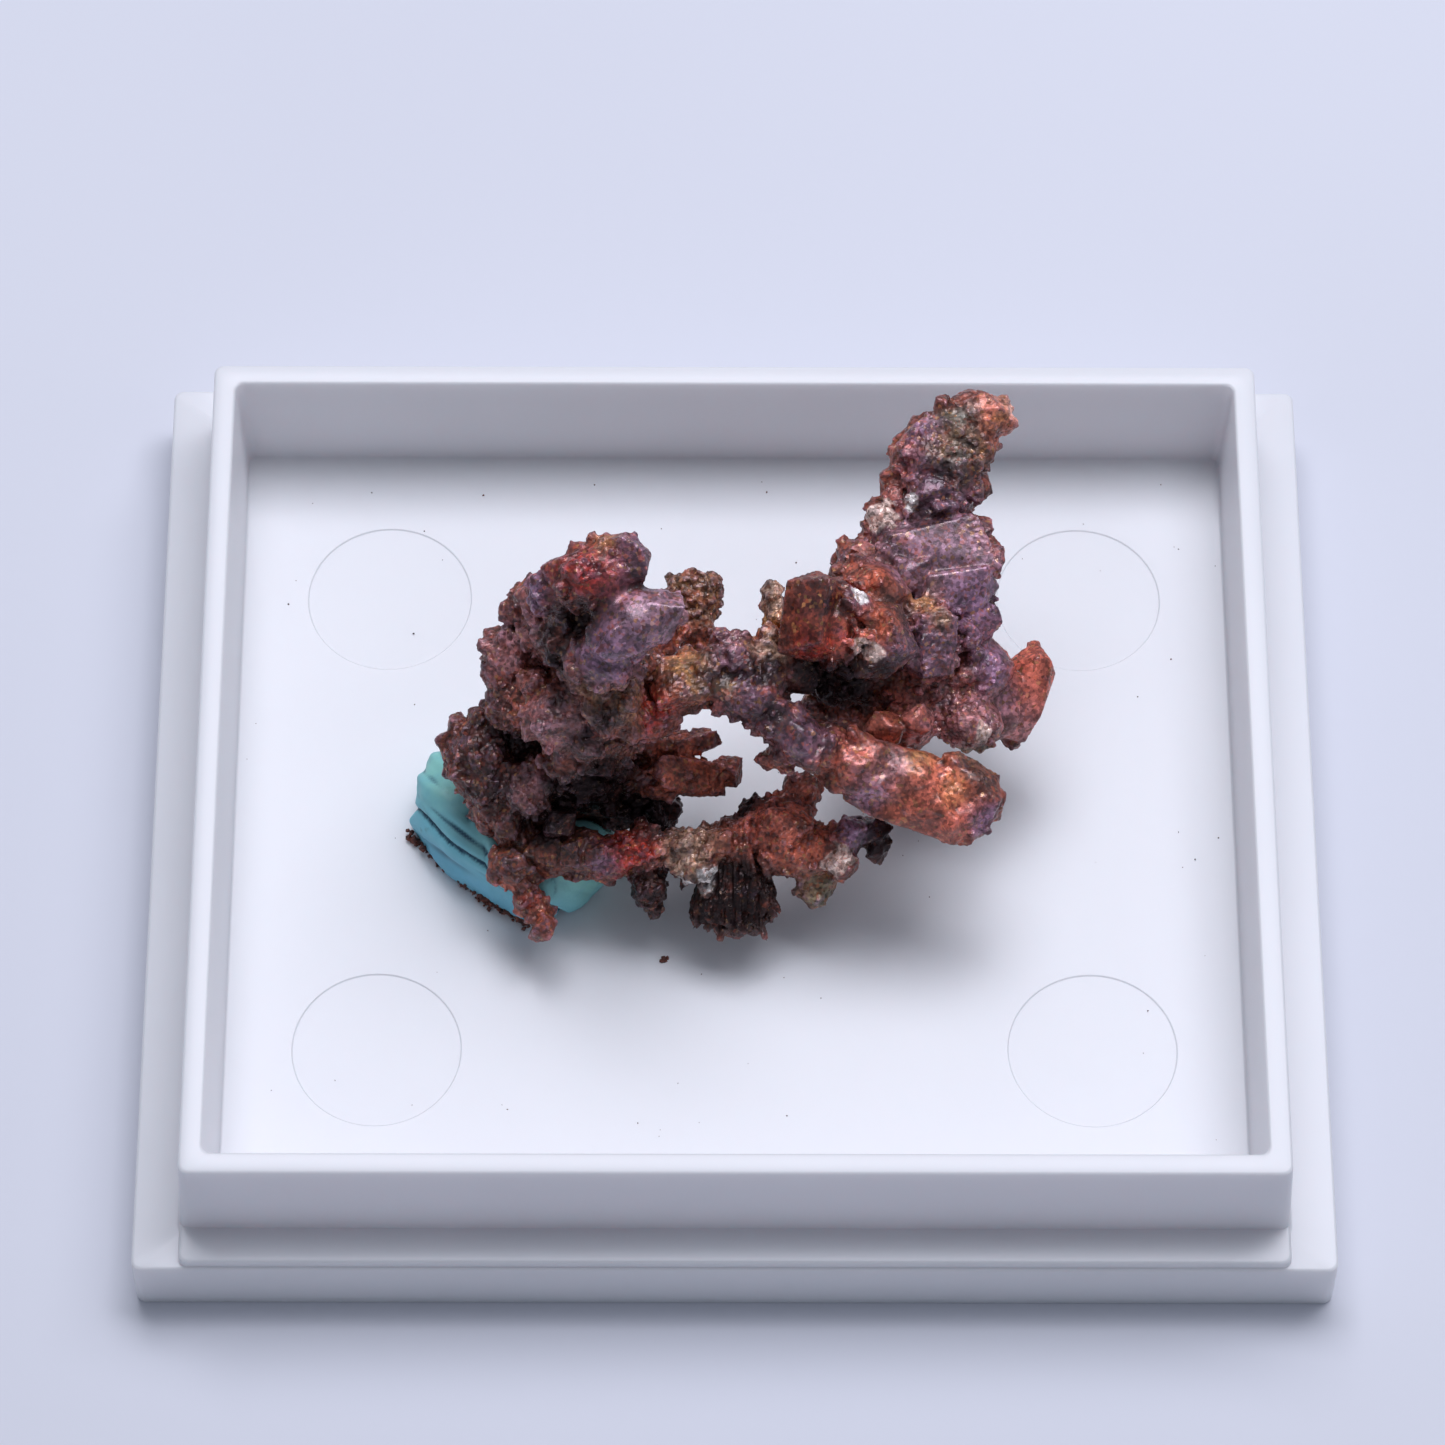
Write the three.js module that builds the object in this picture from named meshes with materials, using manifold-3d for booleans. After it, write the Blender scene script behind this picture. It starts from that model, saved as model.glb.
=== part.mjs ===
// Native copper specimen fixed with putty in the white moulded base of a specimen box.
// Millimetres, +Z up. The origin is the middle of the underside of the base, and -Y is the front.

import * as THREE from "three";
import { ConvexGeometry } from "three/addons/geometries/ConvexGeometry.js";
import { mergeVertices } from "three/addons/utils/BufferGeometryUtils.js";
import Module from "manifold-3d";

// Driving dimensions of the moulded base
const FLANGE_WIDTH = 49.9;
const FLANGE_DEPTH = 43.0;
const FLANGE_HEIGHT = 3.3;
const LEDGE_HEIGHT = 3.7; // the flange is a little thicker along the front and the back
const LEDGE_SETBACK = 0.15;
const RIM_WIDTH = 45.5; // outside, at the top of the rim
const RIM_DEPTH = 39.1;
const RIM_HEIGHT = 8.45;
const RIM_WALL = 0.95; // at the top of the rim
const DRAFT = 0.25; // how far a rim wall spreads on each side towards its foot
const FLOOR_HEIGHT = 2.75; // top of the floor inside the rim
const FLOOR_THICKNESS = 1.2;
const SKIRT_WALL = 1.3; // wall under the flange, round the open underside
const CORNER_RADIUS = 0.4;
const CORNER_STEPS = 2;
const PIN_MARK_RADIUS = 3.7;
const PIN_MARK_DEPTH = 0.12;
const PIN_MARK_SIDES = 20;
const PIN_MARK_X = 15.1;
const PIN_MARK_Y = 11.05;
const OVERRUN = 1; // how far a cut or a joined block runs past the face that it meets

// Driving dimensions of the specimen
const FACE_CENTRE = [-0.5, 1.0, 9.5]; // middle of the face that the specimen shows
const FACE_LEAN = THREE.MathUtils.degToRad(29.6); // that face leans back from lying flat
const GAP = 0.3; // between a branch and its neighbour, and between the copper and the putty
const LUMP_ROUGHNESS = 0.16; // share of a lump's size by which its surface wanders
const FLATTEST = 0.78; // how deep a crystal face may cut into a lump, as a share of its size
const SHALLOWEST = 0.98;
const PLAIN = 0; // subdivisions of the surface of a lump that others cover
const COARSE = 1; // and of a lump that shows
const SEED = 1000; // a lump's facets depend on its place alone
const SEED_STEPS = new THREE.Vector3(137, 311, 17);

// Driving dimensions of the putty
const PUTTY_OUTLINE = [
  [-13.8, -0.6], [-12.4, -2.5], [-10.6, -4.2], [-8.6, -5.1], [-6.4, -4.2],
  [-5.2, -2.4], [-5.6, 0.4], [-7.6, 2.6], [-10.6, 3.2], [-13.2, 1.8],
];
const PUTTY_SIDES = 20;
const PUTTY_HEIGHT = 3.3;
const PUTTY_ROUNDING = 1.3;
const PUTTY_ROUNDING_STEPS = 2;

const plastic = { color: 0xe9e9ef, roughness: 0.35, metalness: 0 };
const copper = { color: 0x7a4436, roughness: 0.6, metalness: 0.4 };
const clay = { color: 0x5a969f, roughness: 0.7, metalness: 0 };

const wasm = await Module();
wasm.setup();

// Solids from three.js geometry and back
function solidOf(geometry) {
  const bare = geometry.clone();
  bare.deleteAttribute("normal");
  bare.deleteAttribute("uv");
  const merged = mergeVertices(bare);
  const vertProperties = new Float32Array(merged.attributes.position.array);
  const triVerts = new Uint32Array(merged.index.array);
  return new wasm.Manifold(new wasm.Mesh({ numProp: 3, vertProperties, triVerts }));
}

function geometryOf(solid) {
  const mesh = solid.getMesh();
  const geometry = new THREE.BufferGeometry();
  geometry.setAttribute("position", new THREE.BufferAttribute(mesh.vertProperties, 3));
  geometry.setIndex(new THREE.BufferAttribute(mesh.triVerts, 1));
  return geometry;
}

function joined(solids) {
  return solids.reduce((whole, solid) => whole.add(solid));
}

function largestFirst(solids) {
  return solids.sort((one, other) => other.volume() - one.volume());
}

function named(name, solid, finish) {
  const mesh = new THREE.Mesh(geometryOf(solid), new THREE.MeshStandardMaterial(finish));
  mesh.name = name;
  return mesh;
}

// The moulded base
function roundedCorners(width, depth, height) {
  const points = [];
  for (const [sideX, sideY, start] of [[1, 1, 0], [-1, 1, 90], [-1, -1, 180], [1, -1, 270]]) {
    for (let step = 0; step <= CORNER_STEPS; step += 1) {
      const angle = THREE.MathUtils.degToRad(start + (90 * step) / CORNER_STEPS);
      const x = sideX * (width / 2 - CORNER_RADIUS) + CORNER_RADIUS * Math.cos(angle);
      const y = sideY * (depth / 2 - CORNER_RADIUS) + CORNER_RADIUS * Math.sin(angle);
      points.push(new THREE.Vector3(x, y, height));
    }
  }
  return points;
}

// A block with upright or sloping walls, from its outline at two heights
function taperedBlock(lower, upper) {
  return solidOf(new ConvexGeometry([...roundedCorners(...lower), ...roundedCorners(...upper)]));
}

function boxBase() {
  const floorWidth = RIM_WIDTH - 2 * (RIM_WALL + DRAFT);
  const floorDepth = RIM_DEPTH - 2 * (RIM_WALL + DRAFT);
  const mouthHeight = RIM_HEIGHT + OVERRUN;
  const spread = (2 * DRAFT * (mouthHeight - FLOOR_HEIGHT)) / (RIM_HEIGHT - FLOOR_HEIGHT);
  const footWidth = RIM_WIDTH + 2 * DRAFT;
  const footDepth = RIM_DEPTH + 2 * DRAFT;
  const openWidth = FLANGE_WIDTH - 2 * SKIRT_WALL;
  const openDepth = FLANGE_DEPTH - 2 * SKIRT_WALL;
  const openTop = FLOOR_HEIGHT - FLOOR_THICKNESS;
  const ledgeDepth = FLANGE_DEPTH - LEDGE_SETBACK * 2;
  const flange = taperedBlock([FLANGE_WIDTH, FLANGE_DEPTH, 0], [FLANGE_WIDTH, FLANGE_DEPTH, FLANGE_HEIGHT]);
  const ledges = taperedBlock([footWidth, ledgeDepth, OVERRUN], [footWidth, ledgeDepth, LEDGE_HEIGHT]);
  const rim = taperedBlock([footWidth, footDepth, OVERRUN], [RIM_WIDTH, RIM_DEPTH, RIM_HEIGHT]);
  const pocket = taperedBlock(
    [floorWidth, floorDepth, FLOOR_HEIGHT],
    [floorWidth + spread, floorDepth + spread, mouthHeight],
  );
  const underside = taperedBlock([openWidth, openDepth, -OVERRUN], [openWidth, openDepth, openTop]);
  let base = joined([flange, ledges, rim]).subtract(pocket).subtract(underside);
  for (const x of [-PIN_MARK_X, PIN_MARK_X]) {
    for (const y of [-PIN_MARK_Y, PIN_MARK_Y]) {
      const depth = 2 * PIN_MARK_DEPTH;
      const mark = new THREE.CylinderGeometry(PIN_MARK_RADIUS, PIN_MARK_RADIUS, depth, PIN_MARK_SIDES);
      mark.rotateX(Math.PI / 2);
      mark.translate(x, y, FLOOR_HEIGHT);
      base = base.subtract(solidOf(mark));
    }
  }
  return base;
}

// A lump of copper: a rough ball with some flat crystal faces, at a place on the specimen's face.
// The place is right, up and out of the face, and the size is half lengths along the lump's own axes,
// which are turned within the face.
function lump(place, size, turn, flats, detail = COARSE) {
  return { place, size, turn, flats, detail };
}

function lumpGeometry({ place, size, turn, flats, detail }, grow = 0) {
  const [right, up, out] = place;
  THREE.MathUtils.seededRandom(Math.round(SEED + SEED_STEPS.dot(new THREE.Vector3(right, up, out))));
  const random = () => THREE.MathUtils.seededRandom();
  const ball = new THREE.IcosahedronGeometry(1, detail);
  ball.deleteAttribute("normal");
  ball.deleteAttribute("uv");
  const geometry = mergeVertices(ball);
  const faces = [];
  for (let index = 0; index < flats; index += 1) {
    const normal = new THREE.Vector3(random() - 0.5, random() - 0.5, random() - 0.5).normalize();
    faces.push({ normal, reach: THREE.MathUtils.lerp(FLATTEST, SHALLOWEST, random()) });
  }
  const point = new THREE.Vector3();
  const vertices = geometry.attributes.position;
  for (let index = 0; index < vertices.count; index += 1) {
    point.fromBufferAttribute(vertices, index).normalize();
    let reach = 1 + LUMP_ROUGHNESS * (random() - 0.5);
    for (const face of faces) {
      const facing = face.normal.dot(point);
      if (facing * reach > face.reach) {
        reach = face.reach / facing;
      }
    }
    vertices.setXYZ(index, point.x * reach, point.y * reach, point.z * reach);
  }
  geometry.scale(size[0] + grow, size[1] + grow, size[2] + grow);
  geometry.rotateZ(THREE.MathUtils.degToRad(turn));
  geometry.translate(right, up, out);
  return geometry;
}

// The mass that stands in the putty
const leftCluster = [
  lump([-5.2, 6.0, 9.2], [2.1, 1.6, 1.9], 25, 8), // knob at the very top
  lump([-6.9, 5.2, 8.0], [1.2, 1.2, 1.6], 0, 7),
  lump([-3.7, 4.0, 9.5], [2.3, 1.4, 1.5], 25, 6), // smooth lobe beside it
  lump([-4.9, 2.7, 8.3], [1.6, 1.4, 1.5], 10, 6),
  lump([-5.8, 3.6, 6.0], [2.2, 2.1, 2.9], 0, 6), // neck under the knob
  lump([-7.8, 5.1, 5.6], [0.8, 1.2, 1.4], 70, 8),
  lump([-7.3, 3.9, 4.2], [1.6, 1.8, 2.4], 30, 6, PLAIN),
  lump([-8.6, 2.9, 2.9], [1.4, 1.6, 1.7], -20, 8), // left shoulder
  lump([-8.5, 1.0, 2.4], [1.6, 1.7, 1.9], 10, 7),
  lump([-6.7, 0.4, 4.6], [1.9, 1.8, 2.0], 0, 7), // middle of the front
  lump([-4.6, 0.9, 5.6], [1.5, 1.5, 1.7], 40, 7),
  lump([-6.4, -1.5, 3.4], [1.2, 1.1, 1.3], 0, 7),
  lump([-4.2, 2.4, 3.2], [2.2, 2.0, 2.9], 0, 5, PLAIN), // mass behind the smooth lobe
  lump([-5.4, -0.3, 1.6], [2.7, 2.4, 2.9], 0, 5, PLAIN),
  lump([-2.7, 3.7, 1.2], [1.6, 1.3, 1.5], 50, 7, PLAIN),
  lump([-1.3, 5.3, 0.0], [1.4, 1.35, 1.3], 20, 8), // granular knob at the back
  lump([-1.1, 4.1, 0.3], [0.9, 1.0, 0.9], 0, 6),
  lump([-2.9, 0.2, 3.4], [1.2, 1.2, 1.6], 0, 7), // root of the bridge
  lump([-10.1, -1.6, 0.3], [1.8, 2.1, 2.0], 15, 8), // round lump at the far left
  lump([-9.5, -3.5, -0.4], [1.4, 1.3, 1.6], 0, 7),
  lump([-8.1, -2.8, 1.0], [1.2, 1.5, 1.8], 0, 8), // flat-faced crystal
  lump([-8.5, -4.8, -0.6], [1.4, 1.3, 1.4], 0, 6, PLAIN),
  lump([-8.8, -6.0, 0.0], [1.3, 1.2, 1.3], 20, 8),
  lump([-7.9, -7.8, -0.2], [1.5, 0.75, 0.8], -60, 7), // finger at the bottom
  lump([-6.4, -1.9, -0.3], [2.8, 2.2, 2.6], 0, 5, PLAIN), // dark heart of the cluster
  lump([-6.3, -2.8, -2.0], [2.6, 1.6, 2.1], 0, 5, PLAIN),
  lump([-8.3, -4.2, -2.6], [2.2, 1.8, 1.9], 0, 5, PLAIN), // foot that stands in the putty
  lump([-2.3, -2.4, -0.6], [2.8, 1.0, 1.2], 3, 9), // dark finger that points into the gap
  lump([-2.2, -1.1, -0.9], [1.7, 0.7, 1.0], 10, 8),
  lump([-3.7, -3.7, -2.3], [2.3, 1.0, 1.4], 0, 6),
];

// The knobby bar across the back of the gap
const backBridge = [
  lump([-1.1, 1.7, 3.9], [1.4, 1.3, 1.3], 30, 7),
  lump([0.3, 2.6, 3.8], [1.3, 1.3, 1.2], 0, 8),
  lump([0.9, 1.3, 4.1], [1.5, 1.3, 1.3], 0, 8),
  lump([2.0, 0.3, 4.1], [1.4, 1.2, 1.3], -30, 8),
  lump([3.2, -0.7, 4.0], [1.15, 1.15, 1.2], 0, 8), // round knob at its end
  lump([2.4, -1.4, 3.3], [0.9, 0.8, 0.9], 0, 7),
  lump([2.2, 4.5, 2.4], [1.6, 0.55, 0.6], 92, 8), // thin finger that stands up behind
  lump([1.9, 2.5, 3.1], [0.8, 1.5, 1.3], 0, 8),
];

// The mass and the tapering spire at the back right
const rightSpire = [
  lump([10.6, 12.9, 0.0], [1.9, 0.9, 1.1], -3, 8), // tip
  lump([9.2, 11.4, 0.0], [2.7, 1.8, 1.5], 15, 9),
  lump([8.9, 10.1, 0.0], [2.2, 1.8, 1.6], 5, 8),
  lump([8.6, 8.8, 0.0], [2.4, 1.6, 1.7], 0, 8),
  lump([6.6, 8.7, 0.3], [0.9, 0.9, 0.9], 0, 6),
  lump([7.2, 7.0, 0.2], [2.9, 1.7, 1.8], 25, 8), // plate below the spire
  lump([9.6, 7.0, 0.0], [2.2, 1.9, 1.8], -15, 9),
  lump([5.4, 7.0, 0.2], [0.9, 1.0, 1.2], 30, 8),
  lump([9.9, 4.7, 0.2], [1.8, 2.0, 1.8], 0, 8),
  lump([4.6, 4.2, 4.4], [1.5, 2.0, 1.8], 0, 9), // blocky crystal that faces out
  lump([6.5, 3.5, 3.9], [1.3, 1.7, 1.6], 0, 8),
  lump([6.3, 5.4, 2.0], [2.2, 1.8, 2.2], 0, 6, PLAIN),
  lump([8.4, 3.5, 1.9], [1.5, 2.0, 1.8], 10, 8),
  lump([5.1, 2.2, 2.3], [2.1, 1.6, 1.6], 0, 6, PLAIN), // dark hollow under the crystal
  lump([5.3, 0.6, 0.1], [2.2, 1.6, 1.2], 0, 6), // back wall of that hollow
  lump([8.2, 1.7, 0.0], [2.7, 2.0, 2.0], 0, 5, PLAIN),
  lump([7.6, -0.1, 0.8], [1.9, 1.1, 1.2], 10, 8), // red plates
  lump([10.2, 0.0, 0.4], [1.7, 1.4, 1.3], -10, 8),
  lump([10.6, 2.4, -0.5], [1.7, 1.8, 1.6], 0, 7),
  lump([11.6, 1.2, -1.6], [1.4, 1.6, 1.5], 0, 7, PLAIN),
  lump([12.7, 1.2, -2.4], [1.1, 2.2, 1.4], -18, 8), // lobe at the far right
];

// The thick leaf at the front right
const rightLobe = [
  lump([5.6, -1.7, 3.2], [1.9, 1.4, 1.3], -25, 7),
  lump([8.0, -2.8, 2.7], [2.6, 1.7, 1.4], -20, 8),
  lump([9.9, -3.5, 2.2], [1.8, 1.7, 1.3], 0, 8),
];

// The arm along the front of the gap
const frontBranch = [
  lump([-6.0, -5.4, 0.2], [1.3, 1.2, 1.2], 0, 8),
  lump([-4.8, -5.8, 0.4], [1.2, 1.1, 1.2], 0, 8),
  lump([-3.4, -5.3, 0.3], [1.3, 1.1, 1.1], 0, 8), // bright red stretch
  lump([-1.4, -5.4, 0.3], [1.6, 1.1, 1.1], 0, 8),
  lump([0.3, -5.0, 0.2], [1.5, 1.2, 1.2], 20, 8),
  lump([2.2, -4.3, 0.0], [1.8, 1.5, 1.5], 20, 8), // thick end
  lump([3.2, -5.3, 0.3], [1.9, 1.5, 1.4], 0, 8),
  lump([3.4, -3.0, -0.6], [0.9, 1.0, 0.9], 0, 7),
  lump([5.3, -4.8, 0.5], [0.9, 0.9, 0.9], 0, 7), // round end knob
  lump([5.0, -5.9, 0.6], [0.9, 0.8, 0.8], 0, 7), // pale crystal patch
  lump([6.4, -4.9, -0.2], [0.6, 0.9, 0.7], 0, 8),
  lump([0.5, -7.3, -0.6], [1.7, 2.0, 1.2], 0, 8), // fibrous fan that hangs below
  lump([-3.1, -6.8, -0.5], [0.8, 1.2, 0.9], 0, 8),
  lump([3.8, -6.9, -0.7], [0.9, 0.9, 0.9], 0, 7),
];

const branches = {
  left_cluster: leftCluster,
  back_bridge: backBridge,
  right_spire: rightSpire,
  right_lobe: rightLobe,
  front_branch: frontBranch,
};

// Where the branches part: the middle of each thin square cut, its side, and the way that the branch leaves
const forks = [
  { place: [-1.75, 1.5, 3.9], side: 4.0, along: [1, 0, 0] }, // left cluster to back bridge
  { place: [4.15, -1.15, 3.6], side: 3.6, along: [1, -0.4, 0] }, // back bridge to right lobe
  { place: [3.15, 2.3, 3.4], side: 4.0, along: [1, 0.15, 0] }, // back bridge to right spire
  { place: [-7.2, -5.5, 0.0], side: 3.6, along: [1, 0, 0] }, // left cluster to front branch
];

function forkCut({ place, side, along }) {
  const slab = new THREE.BoxGeometry(GAP, side, side);
  const direction = new THREE.Vector3(...along).normalize();
  slab.applyQuaternion(new THREE.Quaternion().setFromUnitVectors(new THREE.Vector3(1, 0, 0), direction));
  slab.translate(...place);
  return solidOf(slab);
}

function middleOf(places) {
  const sum = places.reduce((total, place) => total.add(new THREE.Vector3(...place)), new THREE.Vector3());
  return sum.divideScalar(places.length);
}

// The whole growth is joined, then parted at its forks, and each part is the branch whose lumps it holds
function copperBranches() {
  const lumps = Object.values(branches).flat();
  let whole = joined(lumps.map((one) => solidOf(lumpGeometry(one))));
  for (const fork of forks) {
    whole = whole.subtract(forkCut(fork));
  }
  const names = Object.keys(branches);
  const parts = largestFirst(whole.decompose()).slice(0, names.length);
  return names.map((name) => {
    const target = middleOf(branches[name].map((one) => one.place));
    const offset = (solid) => {
      const { min, max } = solid.boundingBox();
      return middleOf([min, max]).distanceTo(target);
    };
    const [solid] = parts.sort((one, other) => offset(one) - offset(other));
    return named(name, solid, copper);
  });
}

// The dab of putty on the floor of the base, with a socket where the copper is pressed into it
function puttyDab() {
  const corners = [...PUTTY_OUTLINE, PUTTY_OUTLINE[0]].map(([x, y]) => new THREE.Vector2(x, y));
  const outline = new THREE.SplineCurve(corners).getSpacedPoints(PUTTY_SIDES);
  const dab = new THREE.ExtrudeGeometry(new THREE.Shape(outline), {
    depth: PUTTY_HEIGHT - PUTTY_ROUNDING,
    bevelThickness: PUTTY_ROUNDING,
    bevelSize: PUTTY_ROUNDING,
    bevelOffset: -PUTTY_ROUNDING,
    bevelSegments: PUTTY_ROUNDING_STEPS,
  });
  dab.translate(0, 0, FLOOR_HEIGHT);
  const under = new THREE.BoxGeometry(FLANGE_WIDTH, FLANGE_DEPTH, FLOOR_HEIGHT);
  under.translate(0, 0, FLOOR_HEIGHT / 2);
  let putty = solidOf(dab).subtract(solidOf(under));
  const lean = new THREE.Matrix4().makeRotationX(FACE_LEAN).setPosition(...FACE_CENTRE);
  for (const one of [...leftCluster, ...frontBranch]) {
    putty = putty.subtract(solidOf(lumpGeometry(one, GAP).applyMatrix4(lean)));
  }
  return largestFirst(putty.decompose())[0];
}

const specimen = new THREE.Group();
specimen.position.set(...FACE_CENTRE);
specimen.rotation.x = FACE_LEAN;
specimen.add(...copperBranches());

const object = new THREE.Group();
object.add(named("box_base", boxBase(), plastic), named("putty", puttyDab(), clay), specimen);

export default object;
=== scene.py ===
# Native copper specimen fixed with putty in the white moulded base of a specimen box.
# Shapes are worked out in millimetres, in the frame of the solids, and scaled to metres as they are placed.

import math
from itertools import product

import bmesh
import bpy
import numpy as np
from mathutils import Matrix, Vector
from mathutils.bvhtree import BVHTree


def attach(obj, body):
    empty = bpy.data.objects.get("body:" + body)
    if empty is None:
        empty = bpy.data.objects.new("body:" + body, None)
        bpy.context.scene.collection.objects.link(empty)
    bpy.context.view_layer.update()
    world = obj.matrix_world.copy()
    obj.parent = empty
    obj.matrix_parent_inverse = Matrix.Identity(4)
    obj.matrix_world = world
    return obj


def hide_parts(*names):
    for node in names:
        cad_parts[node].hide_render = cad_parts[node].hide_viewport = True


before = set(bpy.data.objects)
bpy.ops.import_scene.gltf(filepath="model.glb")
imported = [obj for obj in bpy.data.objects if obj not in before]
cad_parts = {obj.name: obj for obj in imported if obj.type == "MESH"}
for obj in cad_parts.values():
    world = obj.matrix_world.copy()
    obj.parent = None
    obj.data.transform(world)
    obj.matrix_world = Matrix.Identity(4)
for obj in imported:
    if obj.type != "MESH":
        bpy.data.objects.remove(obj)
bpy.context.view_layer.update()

MM = 0.001

# Sizes of the moulded base
FLANGE_WIDTH = 49.9
FLANGE_DEPTH = 43.0
FLANGE_HEIGHT = 3.3
LEDGE_HEIGHT = 3.7
LEDGE_SETBACK = 0.15
RIM_WIDTH = 45.5
RIM_DEPTH = 39.1
RIM_HEIGHT = 8.45
RIM_WALL = 0.95
DRAFT = 0.25
FLOOR_HEIGHT = 2.75
FLOOR_THICKNESS = 1.2
SKIRT_WALL = 1.3
CORNER_RADIUS = 0.4
CORNER_STEPS = 6
EDGE_ROUNDING = 0.12
EDGE_STEPS = 3
SHARP_ANGLE = math.radians(32)
PIN_MARK_RADIUS = 3.6
PIN_MARK_DEPTH = 0.05
PIN_MARK_SLOPE = 0.06
PIN_MARK_SIDES = 96
PIN_MARK_X = 15.1
PIN_MARK_Y = 11.05

# The face that the specimen shows: right, up and out of it are the axes of the places below
FACE_CENTRE = np.array((-0.5, 1.0, 9.5))
FACE_LEAN = math.radians(29.6)
FACE_AXES = np.array((
    (1, 0, 0),
    (0, math.cos(FACE_LEAN), math.sin(FACE_LEAN)),
    (0, -math.sin(FACE_LEAN), math.cos(FACE_LEAN)),
))

BRANCHES = ("left_cluster", "back_bridge", "right_spire", "right_lobe", "front_branch")

# The view of the photograph
IMAGE_SIDE = 1445
FOCAL_PIXELS = 6342.9
SENSOR = 36
CAMERA_ELEVATION = math.radians(60.398)
CAMERA_DISTANCE = 278.53
CAMERA_YAW = math.radians(0.404)
CAMERA_ROLL = math.radians(-0.451)
CAMERA_AIM = Vector((-0.498, 6.399, 0))
CLIP_START = 10


# Repeatable noise
HASH_MIX = np.array(((127.1, 269.5, 113.5), (311.7, 183.3, 271.9), (74.7, 246.1, 124.6)))
HASH_SCALE = 43758.5453


def hashed(cells, seed):
    """Three repeatable values from 0 to 1 for each cell of a lattice."""
    mixed = np.sin(cells @ HASH_MIX + seed) * HASH_SCALE
    return mixed - np.floor(mixed)


def soft_noise(points, spacing, seed):
    """Soft noise from -1 to 1, with lumps about one spacing wide."""
    scaled = points / spacing
    base = np.floor(scaled)
    share = scaled - base
    share = share * share * (3 - 2 * share)
    total = np.zeros(len(points))
    for corner in product((0, 1), repeat=3):
        weight = np.prod(np.where(corner, share, 1 - share), axis=1)
        total += weight * hashed(base + corner, seed)[:, 0]
    return 2 * total - 1


def nearest_cell(points, spacing, seed):
    """The way from the nearest of many scattered centres, and three values of that centre's own."""
    scaled = points / spacing
    base = np.floor(scaled)
    nearest = np.full(len(points), np.inf)
    way = np.zeros_like(scaled)
    own = np.zeros_like(scaled)
    for step in product((-1, 0, 1), repeat=3):
        cell = base + step
        offset = scaled - cell - hashed(cell, seed)
        distance = (offset ** 2).sum(axis=1)
        closer = distance < nearest
        nearest[closer] = distance[closer]
        way[closer] = offset[closer] * spacing
        own[closer] = hashed(cell[closer], seed + 1)
    return way, own


def to_face(points):
    return (points - FACE_CENTRE) @ FACE_AXES.T


def from_face(points):
    return np.asarray(points) @ FACE_AXES + FACE_CENTRE


# Meshes as arrays, in millimetres
def read(collection, name, width, kind=float):
    """One row of values for each member of a collection."""
    values = np.empty(len(collection) * width, kind)
    collection.foreach_get(name, values)
    return values.reshape(-1, width)


def positions(mesh):
    return read(mesh.vertices, "co", 3)


def normals(mesh):
    return read(mesh.vertex_normals, "vector", 3)


def edge_ends(mesh):
    return read(mesh.edges, "vertices", 2, np.int32).T


def mesh_arrays(mesh, unit=MM):
    mesh.calc_loop_triangles()
    return positions(mesh) / unit, read(mesh.loop_triangles, "vertices", 3, np.int32)


def joined(shells):
    """One set of points and faces from several."""
    points, faces, start = [], [], 0
    for shell_points, shell_faces in shells:
        points.append(shell_points)
        faces.append(shell_faces + start)
        start += len(shell_points)
    return np.concatenate(points), np.concatenate(faces)


def new_mesh(name, points, faces):
    mesh = bpy.data.meshes.new(name)
    mesh.from_pydata(np.asarray(points).tolist(), [], np.asarray(faces).tolist())
    return mesh


def new_object(name, mesh):
    piece = bpy.data.objects.new(name, mesh)
    bpy.context.scene.collection.objects.link(piece)
    return piece


def evaluated(piece):
    """The piece's mesh with its modifiers applied. The piece itself is removed."""
    depsgraph = bpy.context.evaluated_depsgraph_get()
    mesh = bpy.data.meshes.new_from_object(piece.evaluated_get(depsgraph))
    bpy.data.objects.remove(piece)
    return mesh


def fused(name, points, faces, voxel):
    """One closed skin round everything that the faces enclose."""
    piece = new_object(name, new_mesh(name, points, faces))
    skin = piece.modifiers.new("skin", "REMESH")
    skin.mode = "VOXEL"
    skin.voxel_size = voxel
    return evaluated(piece)


def largest_part(mesh):
    """The largest shell of a mesh of four-sided faces, without those that float in it or beside it."""
    one, other = edge_ends(mesh)
    shell = np.arange(len(mesh.vertices))
    before = None
    while before is None or (before != shell).any():
        before = shell.copy()
        lower = np.minimum(shell[one], shell[other])
        np.minimum.at(shell, one, lower)
        np.minimum.at(shell, other, lower)
        shell = shell[shell]
    kept = shell == np.bincount(shell).argmax()
    number = np.cumsum(kept) - 1
    faces = read(mesh.loops, "vertex_index", 1, np.int32).reshape(-1, 4)
    return new_mesh(mesh.name, positions(mesh)[kept], number[faces[kept[faces[:, 0]]]])


def thinned(mesh, most):
    """The mesh with the flattest of its triangles merged, until it has no more than the most wanted."""
    mesh.calc_loop_triangles()
    share = most / len(mesh.loop_triangles)
    if share >= 1:
        return mesh
    piece = new_object(mesh.name, mesh)
    thinning = piece.modifiers.new("thinning", "DECIMATE")
    thinning.ratio = share
    return evaluated(piece)


def set_positions(mesh, points):
    mesh.vertices.foreach_set("co", np.ascontiguousarray(points, np.float32).ravel())
    mesh.update()


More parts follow.
